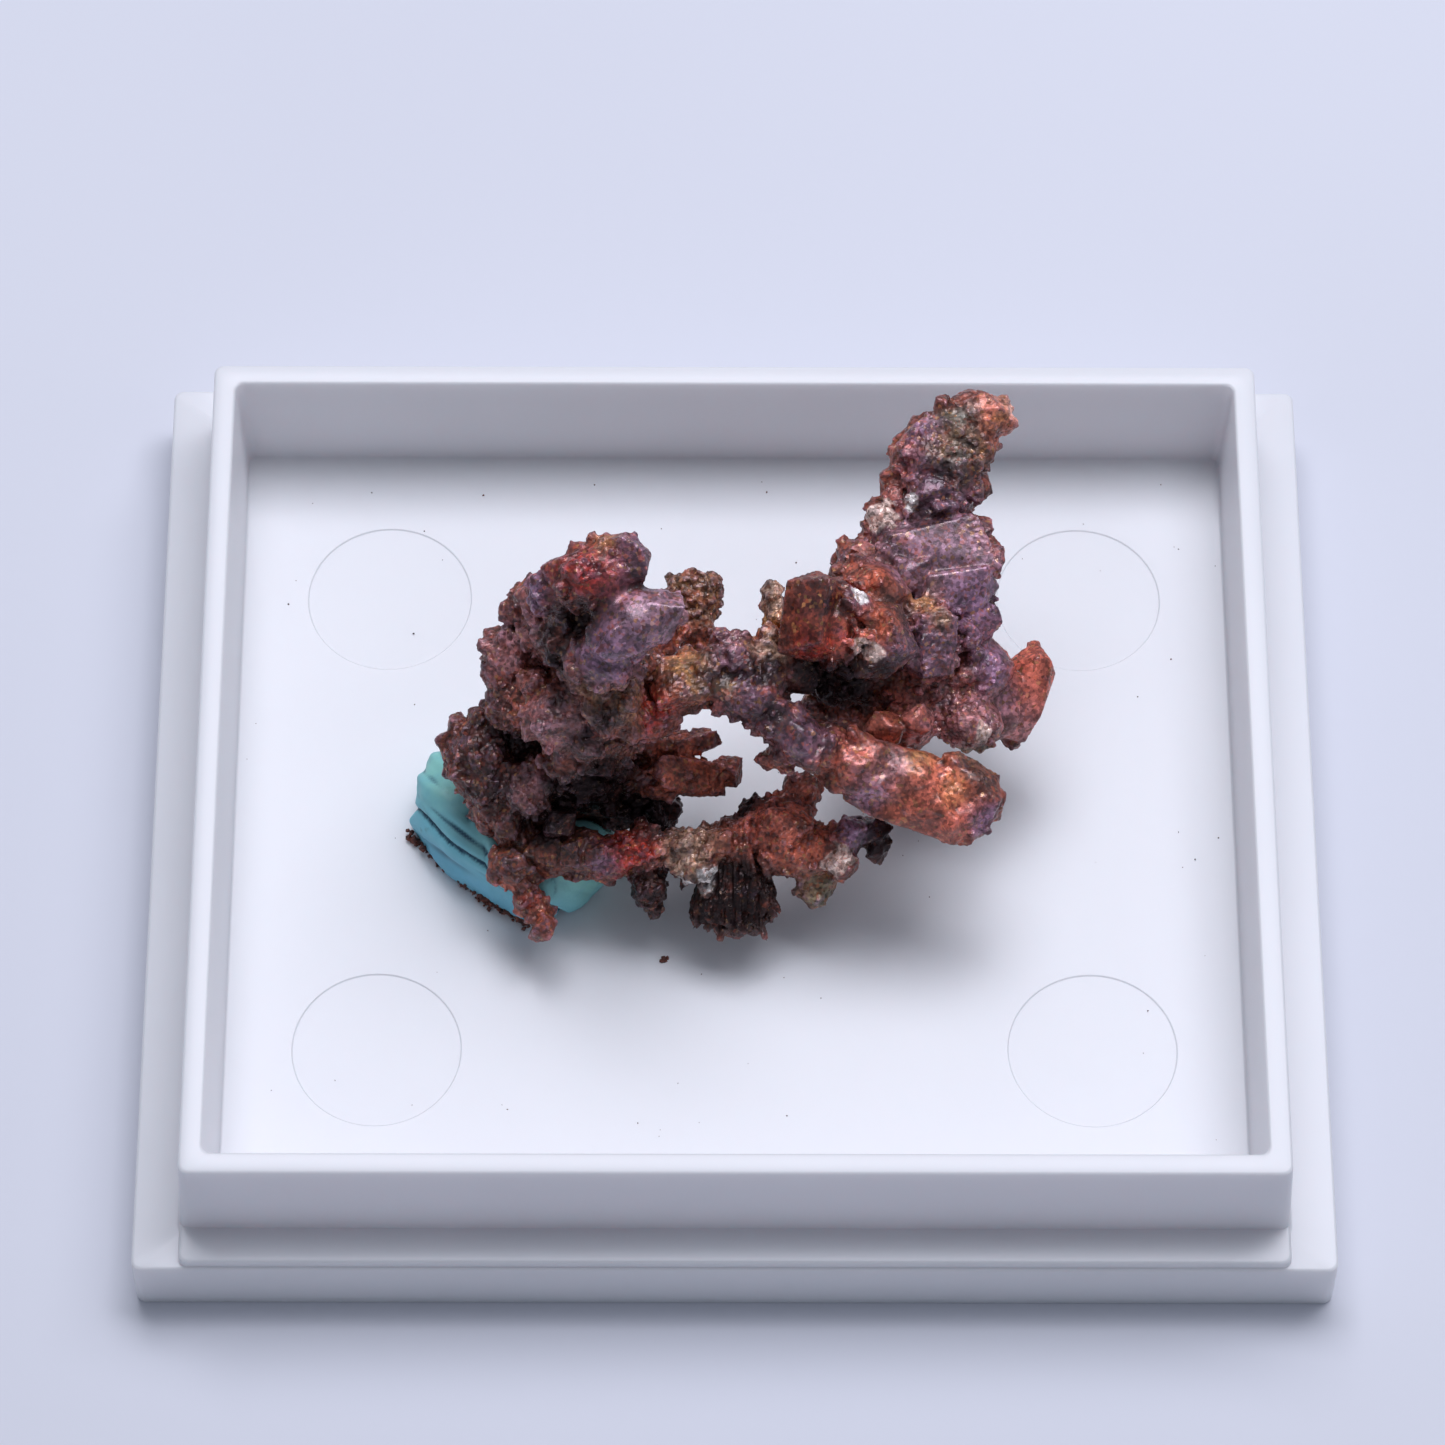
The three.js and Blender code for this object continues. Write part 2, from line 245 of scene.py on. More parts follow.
def relaxed(mesh, values, rounds):
    """Values at the vertices, each drawn towards the mean of its neighbours again and again."""
    one, other = edge_ends(mesh)
    count = np.bincount(one, minlength=len(values)) + np.bincount(other, minlength=len(values))
    count = np.maximum(count, 1)
    for _ in range(rounds):
        sums = np.empty_like(values)
        for axis in range(values.shape[1]):
            column = values[:, axis]
            sums[:, axis] = np.bincount(one, column[other], len(values))
            sums[:, axis] += np.bincount(other, column[one], len(values))
        values = (values + sums / count[:, None]) / 2
    return values


def hollowness(mesh, rounds):
    """How far each vertex lies below the mean of its surroundings, in millimetres."""
    points = positions(mesh)
    return ((relaxed(mesh, points, rounds) - points) * normals(mesh)).sum(axis=1)


def add_attribute(mesh, name, values):
    kind = "FLOAT_COLOR" if values.ndim == 2 else "FLOAT"
    attribute = mesh.attributes.new(name, kind, "POINT")
    if values.ndim == 2:
        opaque = np.concatenate((values, np.ones((len(values), 1))), axis=1)
        attribute.data.foreach_set("color", np.ascontiguousarray(opaque, np.float32).ravel())
    else:
        attribute.data.foreach_set("value", np.ascontiguousarray(values, np.float32))


def placed(name, mesh, material, node=None, smooth=True):
    """A finished piece of the object, from a mesh in millimetres."""
    mesh.transform(Matrix.Scale(MM, 4))
    mesh.materials.clear()
    mesh.materials.append(material)
    mesh.polygons.foreach_set("use_smooth", np.broadcast_to(smooth, len(mesh.polygons)))
    mesh.update()
    piece = new_object(name, mesh)
    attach(piece, "root")
    if node:
        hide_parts(node)
    return piece


def linear(red, green, blue):
    """Linear colour from the usual 0 to 255 values."""
    values = np.array((red, green, blue)) / 255
    return np.where(values <= 0.04045, values / 12.92, ((values + 0.055) / 1.055) ** 2.4)


# Shader nodes
class Shader:
    """A material under construction, with short ways to add the nodes that the finishes share."""

    def __init__(self, name):
        self.material = bpy.data.materials.new(name)
        self.material.use_nodes = True
        self.nodes = self.material.node_tree.nodes
        self.links = self.material.node_tree.links
        self.surface = self.nodes["Principled BSDF"]
        self.place = self.nodes.new("ShaderNodeTexCoord").outputs["Object"]

    def link(self, value, socket):
        if isinstance(value, bpy.types.NodeSocket):
            self.links.new(value, socket)
        else:
            socket.default_value = value

    def noise(self, size, detail=3.0, roughness=0.55):
        node = self.nodes.new("ShaderNodeTexNoise")
        node.inputs["Scale"].default_value = 1 / (size * MM)
        node.inputs["Detail"].default_value = detail
        node.inputs["Roughness"].default_value = roughness
        self.links.new(self.place, node.inputs["Vector"])
        return node.outputs["Fac"]

    def cells(self, size):
        node = self.nodes.new("ShaderNodeTexVoronoi")
        node.inputs["Scale"].default_value = 1 / (size * MM)
        self.links.new(self.place, node.inputs["Vector"])
        return node.outputs["Color"]

    def channel(self, colour, name):
        node = self.nodes.new("ShaderNodeSeparateColor")
        self.links.new(colour, node.inputs["Color"])
        return node.outputs[name]

    def ramp(self, value, low, high, start=0.0, end=1.0):
        node = self.nodes.new("ShaderNodeMapRange")
        node.interpolation_type = "SMOOTHSTEP"
        self.links.new(value, node.inputs["Value"])
        for name, number in (("From Min", low), ("From Max", high), ("To Min", start), ("To Max", end)):
            node.inputs[name].default_value = number
        return node.outputs["Result"]

    def times(self, first, second):
        node = self.nodes.new("ShaderNodeMath")
        node.operation = "MULTIPLY"
        for value, socket in zip((first, second), node.inputs):
            self.links.new(value, socket)
        return node.outputs["Value"]

    def mix(self, share, first, second, blend="MIX"):
        node = self.nodes.new("ShaderNodeMix")
        node.data_type = "RGBA"
        node.blend_type = blend
        self.link(share, node.inputs["Factor"])
        colours = [socket for socket in node.inputs if socket.type == "RGBA"]
        for value, socket in zip((first, second), colours):
            self.link(value if isinstance(value, bpy.types.NodeSocket) else (*value, 1), socket)
        return next(socket for socket in node.outputs if socket.type == "RGBA")

    def tinted(self, colour, tints):
        """The colour with tints laid over it in turn. Each has its share and its red, green and blue."""
        for share, tint in tints:
            colour = self.mix(share, colour, linear(*tint))
        return colour

    def attribute(self, name, output="Fac"):
        node = self.nodes.new("ShaderNodeAttribute")
        node.attribute_name = name
        return node.outputs[output]

    def bump(self, height, depth):
        node = self.nodes.new("ShaderNodeBump")
        node.inputs["Distance"].default_value = depth * MM
        self.links.new(height, node.inputs["Height"])
        self.links.new(node.outputs["Normal"], self.surface.inputs["Normal"])

    def grey(self, value):
        node = self.nodes.new("ShaderNodeCombineColor")
        for name in ("Red", "Green", "Blue"):
            self.links.new(value, node.inputs[name])
        return node.outputs["Color"]


# White plastic. A noise has its size in millimetres, its detail and its roughness.
# A range has the values where it starts and ends, and what it gives there.
PLASTIC_CLOUDS = (6.0, 0.0)
CLOUD_RANGE = (0.3, 0.7)
PLASTIC_COLOURS = ((0.79, 0.79, 0.815), (0.80, 0.80, 0.825))
PLASTIC_ROUGHNESS = 0.3
PLASTIC_REFRACTION = 1.49
GLOW_WEIGHT = 0.55  # share of the light that spreads inside the plastic
GLOW_REACH = 2.0
GLOW_SHARES = (1.0, 0.85, 0.85)  # of that reach, for red, green and blue light


def plastic_finish():
    shader = Shader("moulded_white_plastic")
    surface = shader.surface
    clouds = shader.ramp(shader.noise(*PLASTIC_CLOUDS), *CLOUD_RANGE)
    shader.link(shader.mix(clouds, *PLASTIC_COLOURS), surface.inputs["Base Color"])
    surface.inputs["Roughness"].default_value = PLASTIC_ROUGHNESS
    surface.inputs["IOR"].default_value = PLASTIC_REFRACTION
    surface.inputs["Subsurface Weight"].default_value = GLOW_WEIGHT
    surface.inputs["Subsurface Radius"].default_value = GLOW_SHARES
    surface.inputs["Subsurface Scale"].default_value = GLOW_REACH * MM
    return shader.material


# Blue-green putty
EDGE_BLUE = (118, 194, 220)
INNER_GREEN = (148, 216, 206)
KNEADED_COLOUR = (114, 186, 202)
KNEADED_NOISE = (1.4, 3.0)
KNEADED_RANGE = (0.35, 0.65, 0.0, 0.5)
# Painted shade: a darker blue in the folds and the crease of the putty
FOLD_SHADE_COLOUR = (30, 74, 98)
STAIN_COLOUR = (74, 110, 96)
STAIN_NOISE = (0.9, 4.0)
STAIN_RANGE = (0.62, 0.75, 0.0, 0.35)
PUTTY_DULLNESS_SIZE = 0.5
PUTTY_DULLNESS = (0.3, 0.7, 0.45, 0.65)
PUTTY_TOOTH = (0.12, 0.012)  # size and depth


def putty_finish():
    shader = Shader("kneaded_putty")
    surface = shader.surface
    colour = shader.mix(shader.attribute("inward"), linear(*EDGE_BLUE), linear(*INNER_GREEN))
    colour = shader.tinted(colour, (
        (shader.ramp(shader.noise(*KNEADED_NOISE), *KNEADED_RANGE), KNEADED_COLOUR),
        # painted shade in the folds and the crease
        (shader.ramp(shader.attribute("fold_shade"), 0.0, 1.0), FOLD_SHADE_COLOUR),
        (shader.ramp(shader.noise(*STAIN_NOISE), *STAIN_RANGE), STAIN_COLOUR),
    ))
    shader.link(colour, surface.inputs["Base Color"])
    dullness = shader.ramp(shader.noise(PUTTY_DULLNESS_SIZE), *PUTTY_DULLNESS)
    shader.link(dullness, surface.inputs["Roughness"])
    size, depth = PUTTY_TOOTH
    shader.bump(shader.noise(size), depth)
    return shader.material


# Crusted copper: tints over its patina, among them a painted sheen on its edges and painted shade in its
# crevices, and shades that vary them
GRAIN_SIZE = 0.14
PATCH_NOISE = (0.9, 5.0, 0.65)
# Painted sheen: a pale mauve laid on ridges and edges where the light catches them
EDGE_SHEEN_COLOUR, EDGE_SHEEN_RANGE = (158, 124, 146), (0.2, 1.0, 0.0, 0.34)
HOLLOW_COLOUR, HOLLOW_RANGE = (72, 24, 17), (0.1, 0.9, 0.0, 0.7)
RUST_COLOUR, RUST_RANGE = (158, 72, 42), (0.72, 0.95, 0.0, 0.5)
TAN_COLOUR, TAN_RANGE = (170, 126, 80), (0.86, 1.0, 0.0, 0.6)
RED_COLOUR, RED_RANGE = (146, 66, 46), (0.55, 0.66, 0.0, 0.5)
PLUM_COLOUR, PLUM_RANGE = (104, 80, 98), (0.32, 0.44, 0.55, 0.0)
# Painted shade: the near black laid over crevices and gaps
CREVICE_SHADE_COLOUR = (38, 26, 28)
GRAIN_SHADES = (0.0, 1.0, 0.55, 1.45)
FLECK_NOISE = (0.8, 5.0, 0.7)
FLECK_SHADES = (0.32, 0.68, 0.4, 1.6)
COPPER_DULLNESS = (0.0, 1.0, 0.36, 0.32)  # from rough to smooth copper
PATCH_DULLNESS = (0.35, 0.65, 0.85, 1.4)
GLINT_DULLNESS = (0.75, 0.95, 1.0, 0.5)
# more metal under the painted shade, so that its near black reflects little
CREVICE_METAL = (0.3, 0.9, 0.2, 0.8)
COPPER_SPECULAR = 0.8
COPPER_TOOTH_NOISE = (0.06, 2.0)
COPPER_TOOTH_DEPTH = 0.01


def copper_finish():
    shader = Shader("crusted_native_copper")
    surface = shader.surface
    grains = shader.cells(GRAIN_SIZE)
    red, green, blue = (shader.channel(grains, name) for name in ("Red", "Green", "Blue"))
    patches = shader.noise(*PATCH_NOISE)
    crevice_shade = shader.attribute("crevice_shade")
    colour = shader.tinted(shader.attribute("patina", "Color"), (
        # painted sheen on the ridges and edges
        (shader.ramp(shader.attribute("edge_sheen"), *EDGE_SHEEN_RANGE), EDGE_SHEEN_COLOUR),
        (shader.ramp(shader.attribute("hollow"), *HOLLOW_RANGE), HOLLOW_COLOUR),
        (shader.ramp(red, *RUST_RANGE), RUST_COLOUR),
        (shader.ramp(green, *TAN_RANGE), TAN_COLOUR),
        (shader.ramp(patches, *RED_RANGE), RED_COLOUR),
        (shader.ramp(patches, *PLUM_RANGE), PLUM_COLOUR),
    ))
    flecks = shader.ramp(shader.noise(*FLECK_NOISE), *FLECK_SHADES)
    for shade in (shader.ramp(blue, *GRAIN_SHADES), flecks):
        colour = shader.mix(1.0, colour, shader.grey(shade), "MULTIPLY")
    # painted shade: near black over the crevices
    colour = shader.tinted(colour, ((crevice_shade, CREVICE_SHADE_COLOUR),))
    shader.link(colour, surface.inputs["Base Color"])
    dullness = shader.times(shader.ramp(patches, *PATCH_DULLNESS), shader.ramp(green, *GLINT_DULLNESS))
    polish = shader.ramp(shader.attribute("polish"), *COPPER_DULLNESS)
    shader.link(shader.times(dullness, polish), surface.inputs["Roughness"])
    shader.link(shader.ramp(crevice_shade, *CREVICE_METAL), surface.inputs["Metallic"])
    surface.inputs["Specular IOR Level"].default_value = COPPER_SPECULAR
    shader.bump(shader.noise(*COPPER_TOOTH_NOISE), COPPER_TOOTH_DEPTH)
    return shader.material


# Colours of the copper, as red, green and blue from 0 to 255
COLOURS = {
    "maroon": (80, 35, 32),
    "russet": (130, 66, 50),
    "rust": (178, 90, 66),
    "scarlet": (180, 44, 28),
    "coral": (220, 114, 94),
    "mauve": (140, 106, 136),
    "lilac": (152, 118, 136),
    "plum": (108, 80, 98),
    "rose": (172, 118, 122),
    "umber": (82, 54, 46),
    "bronze": (136, 98, 70),
    "ochre": (172, 122, 68),
    "gold": (206, 142, 62),
    "sand": (196, 162, 138),
    "moss": (120, 116, 88),
    "verdigris": (140, 150, 142),
    # The two darkest colours are painted shade: near black where gaps, cavities and undersides lie in
    # shadow
    "shade_dark": (27, 17, 17),
    "shadow_black": (14, 9, 10),
    "chalk": (232, 224, 220),
    "blush": (226, 196, 184),
}
# Places on the specimen's face that show each: right, up, radius
COLOUR_PLACES = {
    "maroon": (
        (-6.6, 5.0, 1.1), (-9.4, 1.6, 0.6), (-10.1, -1.8, 1.5), (0.7, -0.1, 0.5), (3.9, 4.7, 1.0),
        (3.6, 4.2, 0.6), (12.5, 1.8, 0.6),
    ),
    "russet": ((-7.9, -7.9, 0.8), (-2.5, 1.2, 1.0), (4.9, -1.8, 1.0), (7.7, -4.2, 0.7), (-0.1, -9.0, 0.5)),
    "rust": (
        (-1.7, 3.5, 0.7), (-8.3, 1.4, 0.9), (-6.5, -1.8, 0.6), (-9.2, -6.8, 0.5), (-1.2, -2.3, 1.3),
        (-1.9, -2.0, 0.8), (-3.0, -2.9, 0.5), (7.0, 10.8, 0.9), (6.0, 6.2, 0.9), (6.4, 4.1, 0.6),
        (7.0, -0.2, 0.7), (10.2, 2.0, 0.6), (7.6, -3.4, 0.9), (-0.3, -5.1, 0.6), (2.8, -4.5, 1.1),
    ),
    "scarlet": ((-5.5, 6.1, 1.2), (-8.2, -7.5, 0.35), (-2.9, 0.4, 0.7), (4.0, 3.0, 0.8), (-3.7, -5.3, 1.0)),
    "coral": (
        (11.7, 13.0, 0.9), (5.2, 3.4, 0.8), (7.8, 0.2, 1.0), (13.2, 1.8, 1.2), (9.0, -3.5, 1.2),
        (8.9, -2.5, 0.8), (5.7, -1.3, 0.7), (2.2, -3.9, 1.1),
    ),
    "mauve": (
        (-4.8, 2.9, 1.2), (-7.9, 5.3, 0.8), (8.7, 12.3, 0.6), (10.6, 5.1, 1.2), (5.6, 5.3, 0.45),
        (11.2, 2.4, 0.9), (12.0, 1.0, 0.6), (6.0, -2.9, 0.6), (10.9, -4.0, 0.6), (-5.1, -5.8, 0.6),
        (5.6, -4.4, 0.7),
    ),
    "lilac": ((-3.0, 4.1, 1.5), (8.9, 6.8, 1.7)),
    "plum": (
        (-4.0, 6.6, 1.1), (0.1, 2.9, 0.9), (0.9, 0.9, 1.0), (3.2, -0.6, 1.1), (8.2, 10.6, 0.9),
        (9.6, 9.4, 1.0), (7.0, 2.9, 0.6), (8.6, 3.3, 1.2),
    ),
    "rose": (
        (-7.6, 4.4, 0.7), (-8.9, 2.8, 1.0), (-6.7, 0.0, 1.2), (-7.3, 0.3, 0.6), (-8.0, -2.8, 0.9),
        (0.5, 3.4, 0.5), (7.9, 0.3, 0.7), (8.4, -0.2, 0.6), (10.1, 0.3, 1.2), (12.6, 0.2, 0.9),
        (11.8, 0.6, 0.9), (6.6, -2.1, 1.0),
    ),
    "umber": (
        (-10.6, -0.8, 0.7), (-8.7, -6.0, 0.9), (-3.4, 2.4, 0.8), (10.4, 10.7, 0.6), (7.0, 4.9, 0.7),
        (7.0, -0.9, 0.6), (6.5, -1.2, 0.5), (10.7, -2.4, 0.7), (-5.8, -5.6, 0.8),
    ),
    "bronze": ((-1.4, 5.6, 1.3), (-5.0, 1.3, 1.1), (10.3, 11.9, 0.9), (9.9, -2.0, 0.8)),
    "ochre": (
        (-4.9, 7.3, 0.5), (-1.3, 2.4, 0.8), (9.1, 11.7, 0.5), (3.0, 5.2, 0.6), (3.5, 5.9, 0.5),
        (9.0, 4.2, 0.4), (8.3, -1.8, 0.6),
    ),
    "gold": ((1.9, 4.2, 0.4), (11.5, 12.7, 0.35), (8.6, 5.1, 0.6), (9.5, -2.9, 0.5), (9.4, -1.6, 0.45)),
    "sand": ((2.1, 5.1, 0.6), (2.0, 3.0, 0.5), (12.0, 13.2, 0.7), (-1.8, -5.6, 0.8), (-1.3, -5.0, 0.8)),
    "moss": ((0.1, 1.3, 0.5), (9.3, 12.6, 0.5), (10.8, -1.9, 0.6), (4.1, -7.5, 0.7)),
    "verdigris": ((10.2, 12.8, 0.5), (9.8, 11.4, 0.6)),
    # painted shade: shaded undersides, the fan under the front branch and dark gaps
    "shade_dark": (
        (-3.7, 5.9, 0.5), (-6.2, 4.0, 0.7), (-9.0, -0.6, 0.9), (-6.2, -2.2, 0.9), (-6.6, 2.5, 0.7),
        (-7.0, 3.3, 0.5), (-9.6, -2.6, 0.9), (-7.2, -3.6, 1.2), (-0.5, 1.9, 0.5), (1.7, 1.9, 0.5),
        (2.2, 0.2, 0.5), (9.4, 10.4, 0.6), (4.7, 4.7, 0.5), (4.3, 2.3, 0.8), (5.4, 2.2, 0.7),
        (6.7, 2.3, 0.6), (0.0, -7.0, 1.3), (-0.7, -7.7, 1.1), (1.0, -7.5, 1.1), (-3.0, -7.2, 0.9),
    ),
    # painted shadow: the deepest cavities and gaps
    "shadow_black": (
        (-5.4, 4.5, 0.9), (-6.1, -0.7, 0.6), (-6.7, 0.9, 0.5), (-4.9, 0.0, 0.45), (-8.5, -0.7, 0.8),
        (-5.6, -2.8, 1.5), (-3.1, -4.1, 1.4), (8.7, 8.8, 0.5), (3.1, 3.2, 0.5), (4.3, 1.5, 1.2),
        (5.8, 1.3, 0.7), (0.7, -3.3, 0.7), (6.6, -4.9, 0.7),
    ),
    "chalk": ((7.9, 9.4, 0.45), (5.6, 5.2, 0.45), (-0.9, -6.3, 0.8)),
    "blush": ((6.5, 8.7, 0.75), (5.85, 3.05, 0.65), (11.0, -0.5, 0.5), (4.8, -5.8, 0.8)),
}
COLOUR_LIFT = 1.03  # lifts all the colours together
BRIGHTEST = 0.85
SHADE_COLOURS = {"shadow_black": 1.0, "shade_dark": 0.75}  # how far each counts as painted shade in the dark gaps
CRISP_COLOURS = ("chalk", "blush")  # calcite crystals, which end sharply
CRISP_EDGE = (0.33, 0.45)
CRISP_WEIGHT = 9.0
COMMON_COLOUR = "russet"
COMMON_WEIGHT = 0.12
COLOUR_WANDER = ((0.9, 0.35), (0.3, 0.14))  # how the borders of the colours wander: spacing, distance
WANDER_SEED = 10

# Places on the face with a surface of their own: right, up, radius
SMOOTH_PLACES = (
    (-3.5, 4.0, 1.8), (-4.8, 2.9, 1.0), (8.9, 7.2, 1.5), (7.2, 6.4, 1.2), (10.4, 6.0, 1.3),
    (7.5, -2.7, 3.0), (12.9, 1.4, 2.0), (3.2, -0.6, 1.0), (3.9, 4.4, 1.3),
)
GRANULAR_PLACES = (
    (-1.3, 5.3, 1.6), (-10.1, -1.8, 2.0), (10.1, 0.2, 1.5), (2.5, -4.6, 2.0), (-3.6, -5.3, 1.2),
    (-8.8, 2.2, 1.6), (-3.0, -7.0, 1.0), (9.8, 11.6, 0.9),
)
FIBROUS_PLACES = ((0.3, -7.5, 1.7),)
PITTED_PLACES = ((6.0, -1.9, 1.7), (9.7, -2.5, 1.6))
PLACE_FIRMNESS = 1.6  # more than 1 holds the kind of surface some way out from the middle
POLISHED_FROM = 0.5

# Crystals where the copper is common, granular and smooth: how many on a square millimetre, half lengths
COARSE_CRYSTALS = ((0.7, 0.35, 0.82), (0.6, 0.22, 0.45), (0.0, 0.18, 0.26))
FINE_CRYSTALS = ((1.5, 0.13, 0.35), (7.0, 0.1, 0.23), (0.12, 0.09, 0.17))
CRYSTAL_FLATNESS = 0.45
SMALL_BIAS = 2  # more than 1 makes small crystals the most common
CRYSTAL_SINK = (0.1, 0.75)  # how deep a crystal's middle lies under the surface, as a share of its size
COPPER_VOXEL = 0.085
MOST_TRIANGLES = 190000
NARROW_ROUNDS, NARROW_DEPTH = 8, 0.05  # edges and small hollows
WIDE_ROUNDS, WIDE_DEPTH, WIDE_START = 120, 0.5, 0.12  # gaps between the lumps, which the painted shade darkens
# the darkest that the painted shade in the crevices goes
DARKEST = 0.95
SMOOTH_SHEEN_LOSS = 0.6  # how much less painted sheen the edges get where the copper is smooth
CORE_VOXEL = 0.2
CORE_DEPTH = 0.13  # how deep the core that the crystals grow on lies under their tips
FLAT_DEPTH = 0.4  # how much deeper it lies behind the crystals with flat faces
# Relief of the surface: spacing, how far it stands out, and the start of its noise
GRAINS = (0.22, 0.1, 2)
FINE_GRAINS = (0.13, 0.035, 3)
PITS = (0.65, 0.26, 8)
FIBRES = (0.12, 0.16, 4)
FIBRE_LENGTH = 1.6
GRAIN_LEVEL = 0.5
LEAST_GRAIN = 0.4
GRAIN_SHARES = (0.4, 0.8, 0.3)  # common share of the grains, more where granular, and less where smooth
SMOOTH_LOSS = 0.8  # how much of the fine grains is missing where the copper is smooth
FIBROUS_LOSS = 0.6  # the same of all grains where it is fibrous

# Worn lumps that stand out on the face: place, half lengths, turn in the face, tip to the right
BLOCKS = {
    "left_cluster": (
        ((-4.2, 6.5, 9.6), (1.2, 1.3, 1.2), -10, 15), ((-6.0, 5.8, 9.0), (1.4, 1.4, 1.3), 28, -20),
        ((-3.4, 3.9, 9.9), (2.3, 1.0, 1.1), 27, 5), ((-7.9, 4.9, 5.8), (0.45, 1.4, 0.9), 15, -20),
        ((-8.8, 2.8, 3.6), (1.0, 1.3, 1.0), -15, -15), ((-8.0, -2.7, 1.8), (0.9, 1.4, 0.8), -15, 20),
        ((-6.6, 0.1, 5.6), (1.1, 1.1, 0.9), 20, 15), ((-8.4, -0.8, 0.5), (1.1, 1.0, 0.9), 10, 0),
        ((-7.3, 2.3, 2.0), (1.1, 1.0, 0.9), -30, 0), ((-9.5, 1.9, 3.4), (0.6, 0.8, 0.6), 20, 20),
        ((-8.1, 3.7, 4.6), (0.6, 0.8, 0.6), -20, 15), ((-7.9, 1.6, 4.6), (0.7, 0.8, 0.7), 35, -20),
        ((-5.6, -1.0, 5.2), (0.8, 0.7, 0.7), 15, 25), ((-6.0, 1.8, 6.4), (0.7, 0.7, 0.7), 40, -15),
        ((-3.4, -1.1, -0.5), (0.9, 0.7, 0.6), 0, 0), ((-6.8, -4.2, 1.3), (0.9, 0.7, 0.7), 25, 10),
        ((-9.0, -4.2, 0.8), (0.7, 0.9, 0.7), -20, -10), ((-4.9, 1.1, 6.3), (0.9, 1.0, 0.9), -25, 10),
    ),
    "right_spire": (
        ((11.2, 13.0, 0.4), (1.3, 0.85, 0.9), -20, 10), ((9.6, 12.2, 0.5), (1.2, 0.8, 0.9), 30, -10),
        ((8.6, 11.0, 0.7), (0.9, 1.2, 0.9), -15, 20), ((10.0, 10.9, 0.6), (0.8, 1.0, 0.9), 40, -15),
        ((8.9, 9.6, 0.8), (1.3, 0.8, 0.9), -10, 15), ((7.5, 6.2, 1.3), (1.6, 1.0, 0.9), 20, -8),
        ((6.2, 6.4, 0.9), (1.5, 1.1, 1.1), 35, -15), ((6.7, -0.2, 2.3), (0.9, 0.8, 0.7), -10, 5),
        ((8.1, 0.1, 2.2), (0.8, 0.7, 0.7), 25, -15), ((10.3, -0.1, 1.2), (1.0, 0.8, 0.8), -20, 15),
        ((12.7, 1.4, -1.9), (1.2, 2.3, 1.0), -16, 10), ((11.5, 0.8, -1.2), (1.2, 1.7, 0.9), -10, 0),
        ((10.5, 4.2, 0.7), (1.2, 1.1, 1.0), 12, 15),
    ),
    "right_lobe": (
        ((5.4, -2.0, 3.1), (1.7, 1.3, 1.0), -25, 0), ((7.9, -2.8, 2.9), (3.4, 1.7, 1.1), -20, 5),
        ((9.9, -3.2, 2.6), (1.7, 2.0, 1.1), -12, 12),
    ),
    "back_bridge": (
        ((3.2, -0.7, 4.4), (0.85, 0.9, 0.8), 15, 20), ((-1.4, 2.1, 4.3), (0.8, 0.7, 0.7), 30, 10),
    ),
    "front_branch": (
        ((5.4, -4.6, 0.9), (0.7, 0.7, 0.6), 20, 15), ((2.6, -4.4, 0.6), (1.4, 1.2, 1.2), 25, 10),
        ((-5.0, -5.7, 0.9), (0.8, 0.8, 0.7), 30, -15), ((-1.1, -6.2, 0.9), (0.8, 0.6, 0.6), 10, 0),
        ((-3.1, -7.1, -0.1), (0.8, 0.7, 0.7), 10, 0), ((6.5, -4.9, 0.1), (0.45, 0.8, 0.5), -15, 20),
    ),
}
# Crystals with flat faces, in the same terms
FLAT_BLOCKS = {
    "right_spire": (
        ((8.9, 7.2, 0.9), (2.4, 1.4, 1.0), 12, 10), ((9.7, 5.6, 1.2), (1.7, 1.1, 1.0), 4, 12),
        ((3.85, 4.4, 4.8), (1.2, 1.9, 1.1), -8, -30), ((6.5, 3.4, 4.2), (1.2, 1.5, 0.9), 12, -22),
        ((8.6, 3.4, 2.7), (0.95, 1.6, 1.0), -4, 25),
    ),
    "back_bridge": (
        ((0.4, 2.7, 4.3), (0.7, 0.7, 0.6), 30, 25), ((1.3, 0.9, 4.6), (0.7, 0.8, 0.6), -20, -25),
    ),
    "left_cluster": (
        ((-1.3, -2.3, -0.3), (1.7, 0.8, 0.75), -6, 20), ((-1.3, -1.0, -0.6), (1.2, 0.5, 0.6), 14, 25),
    ),
}
LUMP_CORNERS = 13
LUMP_SQUARENESS = 3.2
LUMP_SHAKE = 0.2
CUBE_SHARE = 0.78  # half length of the cube, as a share of the reach of its pyramids
CUBE_SHAKE = 0.15
FORMS = 10
FORM_SEED = 8
TINY = 1e-9
GOLDEN_ANGLE = math.pi * (3 - math.sqrt(5))

# Hanging fans of thin shards: place on the face, spread to each side, how many
FANS = {"front_branch": ((0.1, -7.2, 1.9, 110),)}
SHARD_WIDTH = 0.17
SHARD_LENGTHS = (0.4, 1.0)
SHARD_SCATTER = 0.6
SHARD_TURN = 32

# Where neighbouring branches run into each other: place on the face, half length
FORK_JOINTS = {
    "back_bridge": (((-1.75, 1.5, 3.9), 1.25), ((4.15, -1.15, 3.6), 1.0), ((3.15, 2.3, 3.4), 1.0)),
    "front_branch": (((-7.2, -5.5, 0.0), 1.1),),
}
FORK_FLATNESS = 0.1


